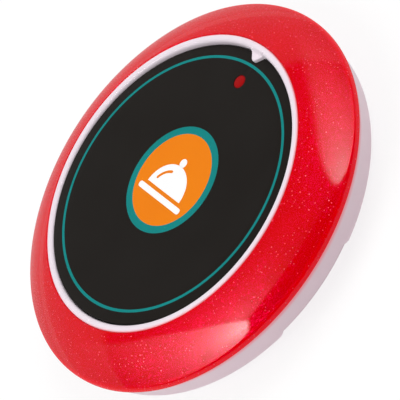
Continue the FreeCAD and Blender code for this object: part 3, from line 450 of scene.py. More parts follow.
def add(tree, kind, inputs, **settings):
    """Add a node to a tree. An input is a plain value, or the output that feeds it."""
    node = tree.nodes.new("ShaderNode" + kind)
    for name, value in settings.items():
        setattr(node, name, value)
    for name, value in inputs.items():
        if isinstance(value, bpy.types.NodeSocket):
            tree.links.new(value, node.inputs[name])
        else:
            node.inputs[name].default_value = value
    return node


def feed(output, node, socket):
    """Link an output to a socket of a node."""
    output.id_data.links.new(output, node.inputs[socket])


def calculate(operation, first, *others, kind="Math", output=0):
    """Output of one Math or Vector Math node. The first value is an output, the others may be plain."""
    values = dict(enumerate((first, *others)))
    return add(first.id_data, kind, values, operation=operation).outputs[output]


def vector_from(operation, *vectors):
    """Vector that one Vector Math node gives."""
    return calculate(operation, *vectors, kind="VectorMath")


def measure(operation, *vectors):
    """Number that one Vector Math node gives, such as a length."""
    return calculate(operation, *vectors, kind="VectorMath", output="Value")


def product(total, *values):
    """An output multiplied by each value in turn."""
    for value in values:
        total = calculate("MULTIPLY", total, value)
    return total


def total_of(total, *values):
    """An output with each value added in turn."""
    for value in values:
        total = calculate("ADD", total, value)
    return total


def in_millimetres(shader):
    """Place on the piece, in millimetres."""
    place = add(shader.id_data, "TexCoord", {}).outputs["Object"]
    return add(shader.id_data, "Mapping", {"Vector": place, "Scale": (1 / MM,) * 3}).outputs["Vector"]


def noise(place, size, detail=2.0):
    """Soft noise whose blotches are about one size in millimetres."""
    return add(place.id_data, "TexNoise", {"Vector": place, "Scale": 1 / size,
                                           "Detail": detail}).outputs["Fac"]


def spread(value, low=0.0, high=1.0, start=0.3, end=0.7):
    """Map a value from between start and end to between low and high."""
    return add(value.id_data, "MapRange", {"Value": value, "From Min": start, "From Max": end,
                                           "To Min": low, "To Max": high}).outputs["Result"]


def smooth(value, start, end):
    """Share that rises smoothly from zero to one while a value goes from start to end."""
    return add(value.id_data, "MapRange", {"Value": value, "From Min": start, "From Max": end},
               interpolation_type="SMOOTHSTEP").outputs["Result"]


def mixed(share, first, second):
    """Colour between two colours by a share."""
    node = add(share.id_data, "Mix", {"Factor": share}, data_type="RGBA")
    for name, value in (("A", first), ("B", second)):
        socket = next(i for i in node.inputs if i.name == name and i.type == "RGBA")
        if isinstance(value, bpy.types.NodeSocket):
            share.id_data.links.new(value, socket)
        else:
            socket.default_value = (*value, 1.0)
    return next(o for o in node.outputs if o.type == "RGBA")


def colour_by(shader, share, first, second):
    """Base colour that goes from the first colour to the second as a share goes up."""
    feed(mixed(share, first, second), shader, "Base Color")


def roughness_by(shader, value, low, high):
    """Roughness between two values, where a noise says."""
    feed(spread(value, low, high), shader, "Roughness")


def bump(shader, height, depth):
    """Relief of a depth in millimetres."""
    node = add(shader.id_data, "Bump", {"Height": height, "Distance": depth * MM, "Strength": 1.0})
    feed(node.outputs["Normal"], shader, "Normal")


def moulded(name, colour, shade, roughness, grain, depth, **plain):
    """Moulded plastic: two close colours in wide soft blotches, and a fine grain in the gloss and
    the relief."""
    shader = new_finish(name, **plain)
    place = in_millimetres(shader)
    fine = noise(place, grain, detail=3.0)
    colour_by(shader, spread(noise(place, 6.0)), colour, shade)
    roughness_by(shader, fine, roughness * 0.88, roughness * 1.12)
    bump(shader, fine, depth)
    return shader


def paint_red_bounce(shader, value, start, end, pink):
    """Painted pink light bounced from the red ring: change a plastic's colour to pink where a value goes
    from start to end.
    """
    plain = shader.inputs["Base Color"].links[0].from_socket
    colour_by(shader, smooth(value, start, end), plain, pink)


def shell_plastic():
    """White moulded plastic, with painted pink light bounced from the red ring close under the ring."""
    shader = moulded("shell_white", (0.86, 0.69, 0.76), (0.90, 0.72, 0.79), 0.4, 0.3, 0.003,
                     Specular_IOR_Level=0.4)
    height = add(shader.id_data, "SeparateXYZ", {"Vector": in_millimetres(shader)}).outputs["Z"]
    # Painted pink bounce of the red ring's light, full just under the ring
    paint_red_bounce(shader, height, SHELL_TOP - PAINTED_BOUNCE_REACH, SHELL_TOP - PAINTED_BOUNCE_FULL, (1.0, 0.36, 0.42))


def case_plastic():
    """White moulded plastic, with painted pink light bounced from the red ring where the bezel meets it.
    """
    shader = moulded("housing_white", (0.83, 0.735, 0.80), (0.86, 0.76, 0.83), 0.34, 0.5, 0.0015,
                     Specular_IOR_Level=0.4)
    radius = measure("LENGTH", vector_from("MULTIPLY", in_millimetres(shader), (1.0, 1.0, 0.0)))
    # Painted pink bounce of the red ring's light, from just inside the bezel's outer edge outwards
    paint_red_bounce(shader, radius, BEZEL_OUTER - BEZEL_PAINTED_BOUNCE_INSIDE, BEZEL_OUTER + BEZEL_PAINTED_BOUNCE_OUTSIDE,
           (1.0, 0.50, 0.57))


def metal(name, colour, roughness, stretch, depth):
    """Bare metal: brushed or rolled marks, which are noise stretched along X, in gloss and relief."""
    shader = new_finish(name, Metallic=1.0)
    along = add(shader.id_data, "Mapping", {"Vector": in_millimetres(shader),
                                            "Scale": (1 / stretch, 1.0, 1.0)}).outputs["Vector"]
    marks = noise(along, 0.12, detail=3.0)
    dark = tuple(part * 0.82 for part in colour)
    colour_by(shader, spread(marks), colour, dark)
    roughness_by(shader, marks, roughness * 0.8, roughness * 1.25)
    bump(shader, marks, depth)


def flakes(place, size, radius_share, rarity):
    """One round flake in some cells of a cell pattern: its mask, and a random colour and a random
    share for each cell."""
    cells = add(place.id_data, "TexVoronoi", {"Vector": place, "Scale": 1 / size, "Randomness": 1.0})
    near = calculate("LESS_THAN", cells.outputs["Distance"], radius_share)
    parts = add(place.id_data, "SeparateColor", {"Color": cells.outputs["Color"]})
    chosen = calculate("GREATER_THAN", parts.outputs[0], rarity)
    return product(near, chosen), cells.outputs["Color"], parts.outputs[1]


def tilted(normal, mask, random_colour, tilt):
    """Normal leaned over by a random amount inside a mask."""
    lean = vector_from("SUBTRACT", random_colour, (0.5, 0.5, 0.5))
    scaled = add(lean.id_data, "VectorMath", {0: lean, "Scale": product(mask, tilt)},
                 operation="SCALE").outputs[0]
    return vector_from("NORMALIZE", vector_from("ADD", normal, scaled))


def glitter_red():
    """Clear red plastic with glitter in it: fine dust and a few larger flakes, each leaning its own
    way, under a smooth clear skin."""
    shader = new_finish("ring_red", Coat_Weight=CLEAR_COAT, Coat_Roughness=0.03, Coat_IOR=1.5,
                        Specular_IOR_Level=0.0)
    place = in_millimetres(shader)
    rarity = spread(noise(place, 4.0), *FLAKE_RARITY, 0.38, 0.62)
    flake, flake_random, flake_share = flakes(place, FLAKE_SIZE, FLAKE_RADIUS_SHARE, rarity)
    dust, dust_random, dust_share = flakes(place, DUST_SIZE, DUST_RADIUS_SHARE, DUST_RARITY)
    inner = mixed(spread(noise(place, 9.0)), (0.70, 0.0, 0.0001), (0.74, 0.0, 0.0003))
    height = add(shader.id_data, "SeparateXYZ", {"Vector": place}).outputs["Z"]
    # Painted light: the red is lighter low on the ring, on its shoulder corner and lip, where less light
    # falls
    rim = spread(height, 1.0, 0.0, RIM_PAINTED_LIGHT_LOW, RIM_PAINTED_LIGHT_HIGH)
    body = mixed(rim, inner, (1.0, 0.0, 0.002))
    dust_colour = mixed(dust_share, (0.92, 0.002, 0.095), (1.0, 0.012, 0.14))
    flake_colour = mixed(flake_share, (0.95, 0.04, 0.08), (1.0, 0.13, 0.18))
    colour_by(shader, flake, mixed(dust, body, dust_colour), flake_colour)
    not_flake = spread(flake, 1.0, 0.0, 0.0, 1.0)
    feed(total_of(product(dust, not_flake), product(flake, FLAKE_METAL)), shader, "Metallic")
    either = calculate("MAXIMUM", flake, dust)
    feed(spread(either, PLAIN_ROUGHNESS, GLITTER_ROUGHNESS, 0.0, 1.0), shader, "Roughness")
    normal = add(shader.id_data, "NewGeometry", {}).outputs["Normal"]
    leaning = tilted(normal, dust, dust_random, DUST_TILT)
    feed(tilted(leaning, flake, flake_random, FLAKE_TILT), shader, "Normal")


def printed_film(name, colour, shade, gloss=0.12):
    """Satin film or ink: nearly even colour, a very fine grain, little gloss."""
    shader = new_finish(name, Specular_IOR_Level=gloss)
    place = in_millimetres(shader)
    fine = noise(place, 0.07)
    colour_by(shader, spread(noise(place, 11.0, detail=1.0)), colour, shade)
    roughness_by(shader, fine, 0.42, 0.5)
    bump(shader, fine, 0.0015)


def window_red():
    """Dark red clear plastic, deeper towards its rim."""
    shader = new_finish("window_red", Coat_Weight=0.04, Coat_Roughness=0.1, Specular_IOR_Level=0.05)
    place = in_millimetres(shader)
    (top_middle,), _ = leaned(([(*WINDOW_CENTRE, FILM_TOP)], []))
    centred = add(shader.id_data, "Mapping", {"Vector": place, "Location": tuple(-top_middle)})
    away = measure("LENGTH", centred.outputs["Vector"])
    rim = spread(away, 0.0, 1.0, WINDOW_RADIUS * 0.72, WINDOW_RADIUS * 1.02)
    colour_by(shader, rim, (0.34, 0.003, 0.004), (0.18, 0.002, 0.003))
    roughness_by(shader, noise(place, 0.2), 0.22, 0.32)


def circuit_green():
    """Green solder mask over copper tracks: tracks are thin bands of a cell pattern's edges."""
    shader = new_finish("board_green", Specular_IOR_Level=0.5)
    place = in_millimetres(shader)
    edges = add(shader.id_data, "TexVoronoi", {"Vector": place, "Scale": 0.32},
                feature="DISTANCE_TO_EDGE").outputs["Distance"]
    track = spread(edges, 1.0, 0.0, 0.04, 0.07)
    colour_by(shader, track, (0.008, 0.09, 0.03), (0.02, 0.17, 0.05))
    roughness_by(shader, noise(place, 0.4), 0.28, 0.4)
    bump(shader, track, 0.02)


def wound_copper(name, colour, dark, pitch):
    """Enamelled wire laid in turns: bands across Z."""
    shader = new_finish(name, Metallic=0.8)
    place = in_millimetres(shader)
    bands = add(shader.id_data, "TexWave", {"Vector": place, "Scale": 0.31 / pitch,
                                            "Distortion": 0.3}, bands_direction="Z").outputs["Fac"]
    colour_by(shader, bands, dark, colour)
    roughness_by(shader, noise(place, 0.3), 0.25, 0.4)
    bump(shader, bands, 0.03)


printed_film("label_black", (0.0135, 0.0115, 0.010), (0.015, 0.013, 0.0115), 0.05)
moulded("plate_black", (0.016, 0.016, 0.016), (0.02, 0.02, 0.02), 0.5, 0.25, 0.006)
window_red()
case_plastic()
glitter_red()
shell_plastic()
moulded("door_white", (0.77, 0.69, 0.75), (0.80, 0.715, 0.78), 0.42, 0.3, 0.004)
moulded("seal_rubber", (0.025, 0.025, 0.026), (0.035, 0.035, 0.035), 0.7, 0.3, 0.01)
moulded("foot_rubber", (0.055, 0.055, 0.058), (0.075, 0.075, 0.078), 0.75, 0.22, 0.012)
circuit_green()
moulded("switch_black", (0.02, 0.02, 0.021), (0.03, 0.03, 0.03), 0.45, 0.2, 0.005)
metal("switch_steel", (0.62, 0.61, 0.59), 0.3, 8.0, 0.002)
metal("tinned", (0.7, 0.7, 0.71), 0.35, 3.0, 0.003)
moulded("lamp_clear", (0.78, 0.76, 0.68), (0.84, 0.82, 0.75), 0.2, 0.3, 0.002, Coat_Weight=0.5)
moulded("chip_black", (0.022, 0.022, 0.023), (0.035, 0.035, 0.036), 0.55, 0.1, 0.006)
metal("can_steel", (0.66, 0.64, 0.58), 0.25, 10.0, 0.0015)
wound_copper("coil_brown", (0.55, 0.2, 0.06), (0.2, 0.06, 0.02), 0.14)
moulded("resistor_black", (0.03, 0.03, 0.032), (0.05, 0.05, 0.05), 0.4, 0.15, 0.003)
moulded("capacitor_tan", (0.42, 0.3, 0.19), (0.5, 0.36, 0.23), 0.4, 0.12, 0.004)
metal("antenna_copper", (0.80, 0.42, 0.24), 0.28, 6.0, 0.002)
metal("contact_nickel", (0.68, 0.66, 0.6), 0.28, 12.0, 0.002)
metal("cell_steel", (0.64, 0.64, 0.63), 0.24, 14.0, 0.0015)
metal("screw_steel", (0.5, 0.5, 0.5), 0.3, 2.0, 0.002)
printed_film("ink_teal", (0.001, 0.215, 0.205), (0.002, 0.23, 0.225))
printed_film("ink_orange", (0.83, 0.205, 0.0), (0.85, 0.22, 0.0))
printed_film("ink_white", (0.93, 0.93, 0.93), (0.96, 0.96, 0.96))


def dress_packed_nodes():
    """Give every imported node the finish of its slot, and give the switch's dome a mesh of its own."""
    slots = {part["node"]: part["material_slot"] for part in frame["record"]["subparts"]}
    for node, packed in frame["nodes"].items():
        for slot in packed.material_slots:
            slot.material = FINISHES[slots[node]]
    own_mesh(frame["nodes"]["switch_dome"])


# Pieces


def ring_section():
    """Section of the red ring: a low crown that rolls over a shoulder into a straight lip, hollow
    underneath."""
    rim_low = RING_TOP - RING_INNER_HEIGHT
    inner_top = arc((RING_INNER + RING_EDGE_ROUND, RING_TOP - RING_EDGE_ROUND), RING_EDGE_ROUND,
                    180, 90, 6)
    shoulder = (SHOULDER_RADIUS, SHOULDER_HEIGHT)
    crown = bulge((RING_INNER + RING_EDGE_ROUND, RING_TOP), shoulder, CROWN_RADIUS, 60)
    corner = bulge(shoulder, (RING_OUTER, LIP_TOP), CORNER_RADIUS, 10)
    lip = rounded([
        (RING_OUTER, LIP_TOP, 0), (RING_OUTER, RING_BOTTOM, LIP_ROUND),
        (RING_OUTER - LIP_WIDTH, RING_BOTTOM, LIP_ROUND), (RING_OUTER - LIP_WIDTH, LIP_TOP, 0),
        (RING_INNER, rim_low, 0)])
    return np.concatenate([inner_top, crown[1:], corner[1:], lip[1:]])


def make_ring():
    """Red ring: its section turned all round."""
    ring = make_mesh("red_glitter_ring", closed_ring(ring_section(), even_angles()))
    finish_piece(ring, "housing", "ring_red", "glitter_ring")


def tooth_edge(angles, gap):
    """Radius of a rounded triangle that points at the centre from beside +Y, as a function of the
    angle: a parabola for the nose, then straight flanks."""
    across = TOOTH_TIP * np.tan(np.radians(np.clip(angles - 90, -TOOTH_REACH, TOOTH_REACH)))
    side = np.abs(across - TOOTH_ASIDE) * TOOTH_NARROWING
    tip = TOOTH_TIP - gap
    nose = TOOTH_NOSE_HALF_WIDTH + gap * TOOTH_NOSE_GAP_SHARE
    slope = (BEZEL_INNER - tip - TOOTH_NOSE_DEPTH) / (TOOTH_HALF_WIDTH + gap - nose)
    inside = tip + TOOTH_NOSE_DEPTH * (side / nose) ** 2
    flank = tip + TOOTH_NOSE_DEPTH + slope * (side - nose)
    return np.where(side < nose, inside, flank)


def soft_least(first, second, blend):
    """The lesser of two values, with a rounded change from one to the other."""
    share = np.clip(0.5 + (second - first) / (2 * blend), 0, 1)
    return second * (1 - share) + first * share - blend * share * (1 - share)


def ease(value):
    """Smooth step: value squared times 3 minus 2 times value, within 0 and 1."""
    value = np.clip(value, 0, 1)
    return value * value * (3 - 2 * value)


def case_sections(angles):
    """Section of the upper case for each angle: deck, bezel wall and top, sloping skirt and rim.
    Where the key tooth is, the wall moves in and the top reaches out over it."""
    count = len(angles)
    wall = soft_least(tooth_edge(angles, 0.0), BEZEL_INNER, TOOTH_ROOT_BLEND)
    inward = ease((BEZEL_INNER - wall) / TOOTH_CHANGE)
    edge = BEZEL_INNER_ROUND + (TOOTH_EDGE_ROUND - BEZEL_INNER_ROUND) * inward
    top = BEZEL_TOP + (TOOTH_TOP - BEZEL_TOP) * inward
    turn = np.radians(np.linspace(180, 90, 8))
    round_radius = wall[:, None] + edge[:, None] * (1 + np.cos(turn))
    round_height = top[:, None] - edge[:, None] * (1 - np.sin(turn))
    across = np.linspace(0, 1, 9)[1:]
    top_radius = (wall + edge)[:, None] * (1 - across) + BEZEL_FLAT * across
    outward = ease((top_radius - TOOTH_SLOPE_START) / TOOTH_SLOPE_LENGTH)
    top_height = top[:, None] + (BEZEL_TOP - top)[:, None] * outward
    inner = np.concatenate([np.stack([wall, np.full(count, DECK_TOP)], axis=-1)[:, None],
                            np.stack([round_radius, round_height], axis=-1),
                            np.stack([top_radius, top_height], axis=-1)], axis=1)
    rim_inner = RIM_RADIUS - SKIRT_RIM_WIDTH
    rest = rounded([
        (BEZEL_FLAT, BEZEL_TOP, 0), (BEZEL_OUTER, BEZEL_TOP, BEZEL_OUTER_ROUND),
        (BEZEL_OUTER, SKIRT_INNER_HEIGHT, 0), (RIM_RADIUS, SKIRT_RIM_HEIGHT, SMALL_ROUND),
        (RIM_RADIUS, SKIRT_RIM_LOW, SMALL_ROUND), (rim_inner, SKIRT_RIM_LOW, SMALL_ROUND),
        (rim_inner, SKIRT_UNDER, 0), (BEZEL_OUTER, DECK_LOW, 0), (DECK_OPENING, DECK_LOW, 0),
        (DECK_OPENING, DECK_TOP, 0)])[1:]
    return np.concatenate([inner, np.broadcast_to(rest, (count, *rest.shape))], axis=1)


def pin(radius, centre, low, high, hole_radius=0.0, hole_high=0.0, steps=48):
    """Upright cylinder, or with a hole radius one with a blind hole from below."""
    angles = np.linspace(0, 360, steps, endpoint=False)
    if not hole_radius:
        return closed_disc(np.array([(radius, low), (radius, high)]), angles, centre)
    return closed_disc(np.array([(hole_radius, hole_high), (hole_radius, low), (radius, low),
                                 (radius, high)]), angles, centre)


def make_case():
    """Upper case: its sections turned all round, with holes in the deck and posts for screws."""
    angles = angles_with([(TOOTH_START, TOOTH_END, FINE_STEP)])
    case = make_mesh("white_case", closed_ring(case_sections(angles), angles))
    holes = [pin(LAMP_HOLE_RADIUS, WINDOW_CENTRE, DECK_LOW - OVERRUN, DECK_TOP + OVERLAP)]
    for degrees in HOOK_ANGLES:
        outline = box_outline(HOOK_SLOT_LENGTH, HOOK_SLOT_WIDTH, polar(HOOK_CIRCLE, degrees), degrees)
        holes.append(slab(outline, DECK_LOW - OVERRUN, DECK_TOP + OVERLAP))
    work_on(case, holes, "DIFFERENCE")
    posts = [pin(POST_RADIUS, place, BOARD_TOP, DECK_LOW + OVERLAP, BOARD_POST_HOLE, BOARD_POST_HOLE_TOP)
             for place in BOARD_SCREWS]
    posts += [pin(POST_RADIUS, place, CASE_POST_LOW, CASE_POST_TOP, CASE_POST_HOLE, CASE_POST_HOLE_TOP)
              for place in CASE_SCREWS]
    work_on(case, posts, "UNION")
    finish_piece(case, "housing", "housing_white", "top_housing")


def shell_sections(angles):
    """Section of the base shell for each angle. Two pry recesses, at +X and -X, move the foot of the
    wall in to one radius, with a square edge below, where a soft-edged trapezium is open."""
    foot = rounded([
        (SHELL_RADIUS, WALL_TOP, BROAD_ROUND), (WALL_FOOT_RADIUS, SHELL_BOTTOM, WALL_FOOT_ROUND),
        (DOOR_OPENING, SHELL_BOTTOM, OPENING_ROUND), (DOOR_OPENING, DOOR_STEP, 0),
        (DOOR_BORE, DOOR_STEP, 0), (DOOR_BORE, FLOOR_TOP, BORE_ROUND),
        (WALL_FOOT_INNER, FLOOR_TOP, FLOOR_ROUND), (WALL_LEDGE, LEDGE_HEIGHT, 0),
        (WALL_INNER, LEDGE_HEIGHT, 0), (WALL_INNER, WALL_TOP, WALL_TOP_ROUND)], closed=True,
        steps=22)
    # The long straight wall gets rows of its own, which the recesses can move
    steep = np.argmax(foot[:, 1] < WALL_TOP - 1)
    upper, lower = foot[steep - 1], foot[steep]
    heights = np.concatenate([np.arange(upper[1] - WALL_STEP, ROUGH_END, -WALL_STEP),
                              np.arange(FINE_START, lower[1], -RECESS_STEP)])
    share = ((heights - lower[1]) / (upper[1] - lower[1]))[:, None]
    wall = lower * (1 - share) + upper * share
    profile = np.concatenate([foot[:steep], wall, foot[steep:]])
    sections = np.repeat(profile[None], len(angles), axis=0)
    radius, height = sections[..., 0], sections[..., 1]
    aside = np.abs(radius * np.sin(np.radians(angles)[:, None]))
    rise = (height - SHELL_BOTTOM) / (RECESS_TOP - SHELL_BOTTOM)
    half = RECESS_LOW_HALF + (RECESS_TOP_HALF - RECESS_LOW_HALF) * rise
    sides = ease(0.5 + (half - aside) / RECESS_SIDE_SOFTNESS)
    roof = ease(0.5 + (RECESS_TOP - height) / RECESS_ROOF_SOFTNESS)
    edge = (radius > FOOT_FLAT) & (radius < RECESS_BACK) & (height < RECESS_TOP)
    moved_in = np.maximum(radius - RECESS_BACK, 0) * sides * roof
    moved_down = np.where(edge, (height - SHELL_BOTTOM) * sides, 0)
    return sections - np.stack([moved_in, moved_down], axis=-1)


def make_shell():
    """Base shell: its sections turned all round, with posts and stops, then ways for the screws,
    pockets for the feet, and notches where the door's lugs pass."""
    angles = angles_with([
        (corner - RECESS_CORNER_SPAN, corner + RECESS_CORNER_SPAN, RECESS_CORNER_STEP)
        for corner in RECESS_CORNER_ANGLES])
    shell = make_mesh("white_base", closed_ring(shell_sections(angles), angles))
    posts = [pin(POST_RADIUS, place, SHELL_BOTTOM + OVERRUN, SHELL_POST_TOP) for place in CASE_SCREWS]
    for degrees in LUG_ANGLES:
        along, aside = polar(STOP_CIRCLE, degrees), polar(STOP_ASIDE, degrees)
        centre = (along[0] - aside[1], along[1] + aside[0])
        posts.append(slab(box_outline(STOP_LENGTH, STOP_WIDTH, centre, degrees), STOP_LOW, STOP_TOP))
    work_on(shell, posts, "UNION")
    screw_way = np.array([
        (SCREW_HEAD_HOLE, SHELL_BOTTOM - OVERRUN), (SCREW_HEAD_HOLE, SCREW_SEAT),
        (SCREW_SHANK_HOLE, SCREW_SEAT), (SCREW_SHANK_HOLE, FLOOR_TOP + 2 * OVERRUN)])
    cuts = [closed_disc(screw_way, even_angles(SCREW_STEP), place) for place in CASE_SCREWS]
    cuts += [pin(FOOT_POCKET_RADIUS, place, SHELL_BOTTOM - OVERRUN, SHELL_BOTTOM + FOOT_POCKET_DEPTH,
                 steps=72)
             for place in FEET]
    for degrees in LUG_ANGLES:
        opened = degrees - DOOR_TURN
        cuts.append(slab(box_outline(NOTCH_LENGTH, NOTCH_WIDTH, polar(NOTCH_CIRCLE, opened), opened),
                         DOOR_STEP - OVERLAP, FLOOR_TOP + OVERRUN))
    work_on(shell, cuts, "DIFFERENCE")
    finish_piece(shell, "housing", "shell_white", "base_shell")


def make_feet():
    """Four round feet, each a section turned about its own axis."""
    top = FEET_HIGH[2]
    section = rounded([
        (NEAR_AXIS, 0, 0), (FOOT_RADIUS, 0, BROAD_ROUND), (FOOT_RADIUS, top, FINE_ROUND),
        (NEAR_AXIS, top, 0)])
    feet = make_mesh("anti_slip_feet", several([
        closed_disc(section, even_angles(SMALL_STEP), place) for place in FEET]))
    finish_piece(feet, "housing", "foot_rubber", "rubber_feet")


def make_door():
    """Battery door: a cup with a flange, three lugs, and a slot for a coin."""
    low, top = SHELL_BOTTOM, DOOR_HIGH[2]
    step, floor = low + DOOR_FLANGE_THICK, low + DOOR_FLOOR_THICK
    section = rounded([
        (NEAR_AXIS, low, 0), (DOOR_FLANGE, low, SOFT_ROUND), (DOOR_FLANGE, step, SMALL_ROUND),
        (DOOR_HUB, step, 0), (DOOR_HUB, top, SMALL_ROUND), (DOOR_CUP, top, SMALL_ROUND),
        (DOOR_CUP, floor, SOFT_ROUND), (NEAR_AXIS, floor, 0)])
    door = make_mesh("battery_cover", closed_disc(section, even_angles(COVER_STEP)))
    lugs = [slab(box_outline(LUG_LENGTH, LUG_WIDTH, polar(LUG_CIRCLE, degrees), degrees, SOFT_ROUND),
                 FLOOR_TOP + LUG_GAP, top)
            for degrees in LUG_ANGLES]
    work_on(door, lugs, "UNION")
    slot = box_outline(COIN_SLOT_LENGTH, COIN_SLOT_WIDTH, corner=COIN_SLOT_ROUND)
    work_on(door, [slab(slot, low - OVERRUN, low + COIN_SLOT_DEPTH)], "DIFFERENCE")
    finish_piece(door, "door", "door_white", "battery_door")


def cross_outline(length, width):
    """Plus sign with twelve corners."""
    half, arm = length / 2, width / 2
    return np.array([(half, -arm), (half, arm), (arm, arm), (arm, half), (-arm, half), (-arm, arm),
                     (-half, arm), (-half, -arm), (-arm, -arm), (-arm, -half), (arm, -half), (arm, -arm)])


def make_case_screws():
    """Four screws, each a section turned about its own axis, with a cross in its head."""
    low, high = SCREWS_LOW[2], SCREWS_HIGH[2]
    seat, tip = low + SCREW_HEAD_THICK, high - SCREW_TIP_LENGTH
    section = rounded([
        (NEAR_AXIS, low, 0), (SCREW_HEAD_RADIUS, low, SCREW_HEAD_ROUND),
        (SCREW_HEAD_RADIUS, seat, FINE_ROUND), (SCREW_SHANK_RADIUS, seat, 0),
        (SCREW_SHANK_RADIUS, tip, 0), (SCREW_TIP_RADIUS, high, SMALL_ROUND),
        (NEAR_AXIS, high, 0)])
    screws = make_mesh("case_screw_set", several([
        closed_disc(section, even_angles(SCREW_STEP), place) for place in CASE_SCREWS]))
    cross = cross_outline(SCREW_CROSS_LENGTH, SCREW_CROSS_WIDTH)
    recesses = [slab(spun(cross, degrees) + place, low - OVERRUN, low + SCREW_CROSS_DEPTH)
                for degrees, place in zip(CASE_SCREW_ANGLES, CASE_SCREWS)]
    work_on(screws, recesses, "DIFFERENCE")
    finish_piece(screws, "housing", "screw_steel", "case_screws")


def make_film():
    """Black printed film: a disc with the tooth's notch in its edge and a hole for the window."""
    angles = angles_with([(TOOTH_START - 1, TOOTH_END + 1, FINE_STEP)])
    edge = np.minimum(FILM_RADIUS, tooth_edge(angles, TOOTH_GAP))[:, None]
    shares = np.array([0.02, 0.3, 0.6, 0.85])[None]
    bevel, early = FINE_ROUND, FINE_ROUND * 0.3
    out = np.concatenate([edge * shares, edge - bevel, edge - early, edge], axis=1)
    down = np.array([0, 0, 0, 0, 0, early, bevel])
    upper = np.stack([out, np.broadcast_to(FILM_TOP - down, out.shape)], axis=-1)
    lower = np.stack([out, np.full(out.shape, FILM_BOTTOM)], axis=-1)[:, ::-1]
    disc = closed_disc(np.concatenate([upper, lower], axis=1), angles)
    hole = pin(WINDOW_RADIUS + WINDOW_GAP, WINDOW_CENTRE, FILM_BOTTOM - OVERRUN, FILM_TOP + OVERRUN,
               steps=96)
    film = make_mesh("printed_film", leaned(disc))
    work_on(film, [leaned(hole)], "DIFFERENCE")
    finish_piece(film, "push_button", "label_black", "label_film")


def make_window():
    """Indicator window: a flange under the plate and a head whose top is a very low dome."""
    low = PLATE_BOTTOM - WINDOW_FLANGE_THICK
    section = rounded([
        (NEAR_AXIS, low, 0), (WINDOW_FLANGE_RADIUS, low, FINE_ROUND),
        (WINDOW_FLANGE_RADIUS, PLATE_BOTTOM, FINE_ROUND), (WINDOW_RADIUS, PLATE_BOTTOM, 0),
        (WINDOW_RADIUS, FILM_TOP - WINDOW_DROP, SMALL_ROUND),
        (WINDOW_CROWN_RADIUS, FILM_TOP - WINDOW_CROWN_DROP, BROAD_ROUND),
        (NEAR_AXIS, FILM_TOP, 0)])
    disc = closed_disc(section, even_angles(SMALL_STEP), WINDOW_CENTRE)
    window = make_mesh("indicator_window", leaned(disc))
    finish_piece(window, "push_button", "window_red", "led_window")


def ink(name, shape, finish):
    """Printed ink on the film, a very thin closed layer."""
    finish_piece(make_mesh(name, leaned(shape)), "push_button", "label_black", finish=finish)


def flat_ring(inner, outer, low, high, centre=(0.0, 0.0)):
    """Level ring between two radii and two heights."""
    section = np.array([(inner, low), (outer, low), (outer, high), (inner, high)])
    return closed_ring(section, even_angles(), centre)


def arch(centre, radius, width, start, end, steps=40):
    """Outline of a curved bar with round ends, along a circle between two angles."""
    outer = arc(centre, radius + width / 2, start, end, steps)
    inner = arc(centre, radius - width / 2, end, start, steps)
    far = arc(np.mean([outer[-1], inner[0]], axis=0), width / 2, end, end + 180, 12)[1:-1]
    near = arc(np.mean([inner[-1], outer[0]], axis=0), width / 2, start + 180, start + 360, 12)[1:-1]
    return np.concatenate([outer, far, inner, near])


def make_print():
    """Thin ring near the edge, and a ringed disc with a dish cover on a tray."""
    low, high = FILM_TOP - INK, FILM_TOP + INK
    half = THIN_RING_WIDTH / 2
    ink("print_thin_ring", flat_ring(THIN_RING_RADIUS - half, THIN_RING_RADIUS + half, low, high),
        "ink_teal")
    ink("print_disc_ring", flat_ring(DISC_RADIUS, DISC_RING_RADIUS, low, high, DISC_CENTRE), "ink_teal")
    disc = np.array([(DISC_MIDDLE, low), (DISC_RADIUS, low), (DISC_RADIUS, high),
                     (DISC_MIDDLE, high)])
    ink("print_disc", closed_disc(disc, even_angles(), DISC_CENTRE), "ink_orange")
    cover = arc(DISH_CENTRE, DISH_RADIUS, 0, 180, 60)
    knob = arc(KNOB_CENTRE, KNOB_RADIUS, *KNOB_SPAN, 30)
    tray = box_outline(TRAY_LENGTH, TRAY_THICK, TRAY_CENTRE, corner=TRAY_ROUND)
    on_disc, over_disc = high - INK / 2, high + INK / 2
    ink("print_dish_cover", several([slab(outline + DISC_CENTRE, on_disc, over_disc)
                                     for outline in (cover, knob, tray)]), "ink_white")
    gleam = arch(DISH_CENTRE, GLEAM_RADIUS, GLEAM_WIDTH, *GLEAM_SPAN) + DISC_CENTRE
    ink("print_gleam", slab(gleam, over_disc - INK / 2, over_disc + INK / 2), "ink_orange")


# Studio

FLOOR_HALF = 1.5
CAMERA_PLACE = (345.22, 16.32, 293.0)
CAMERA_AIM = (9.02, 0.60, 12.0)
CAMERA_ROLL = 56.775
LENS, SENSOR = 247.5, 36.0


def make_camera():
    """Camera at the photograph's place, rolled about its line of sight."""
    place = Vector(CAMERA_PLACE) * MM
    ahead = (Vector(CAMERA_AIM) * MM - place).normalized()
    level = ahead.cross(Vector((0, 0, 1))).normalized()
    above = level.cross(ahead)
    roll = math.radians(CAMERA_ROLL)
    up = above * math.cos(roll) + level * math.sin(roll)
    right = level * math.cos(roll) - above * math.sin(roll)
    data = bpy.data.cameras.new("camera")
    data.lens, data.sensor_width = LENS, SENSOR
    data.clip_start, data.clip_end = 0.01, 20.0
    camera = new_object("camera", data)
    camera.matrix_world = Matrix.Translation(place) @ Matrix(
        (right, up, -ahead)).transposed().to_4x4()
    bpy.context.scene.camera = camera


def seen_share(tree, mirrored=1.0):
    """One for rays from the camera and through clear pieces, a share for rays from mirrors, and zero
    for light that scatters."""
    path = add(tree, "LightPath", {}).outputs
    glossy = product(path["Is Glossy Ray"], mirrored)
    both = calculate("MAXIMUM", path["Is Camera Ray"], glossy)
    return calculate("MAXIMUM", both, path["Is Transmission Ray"])


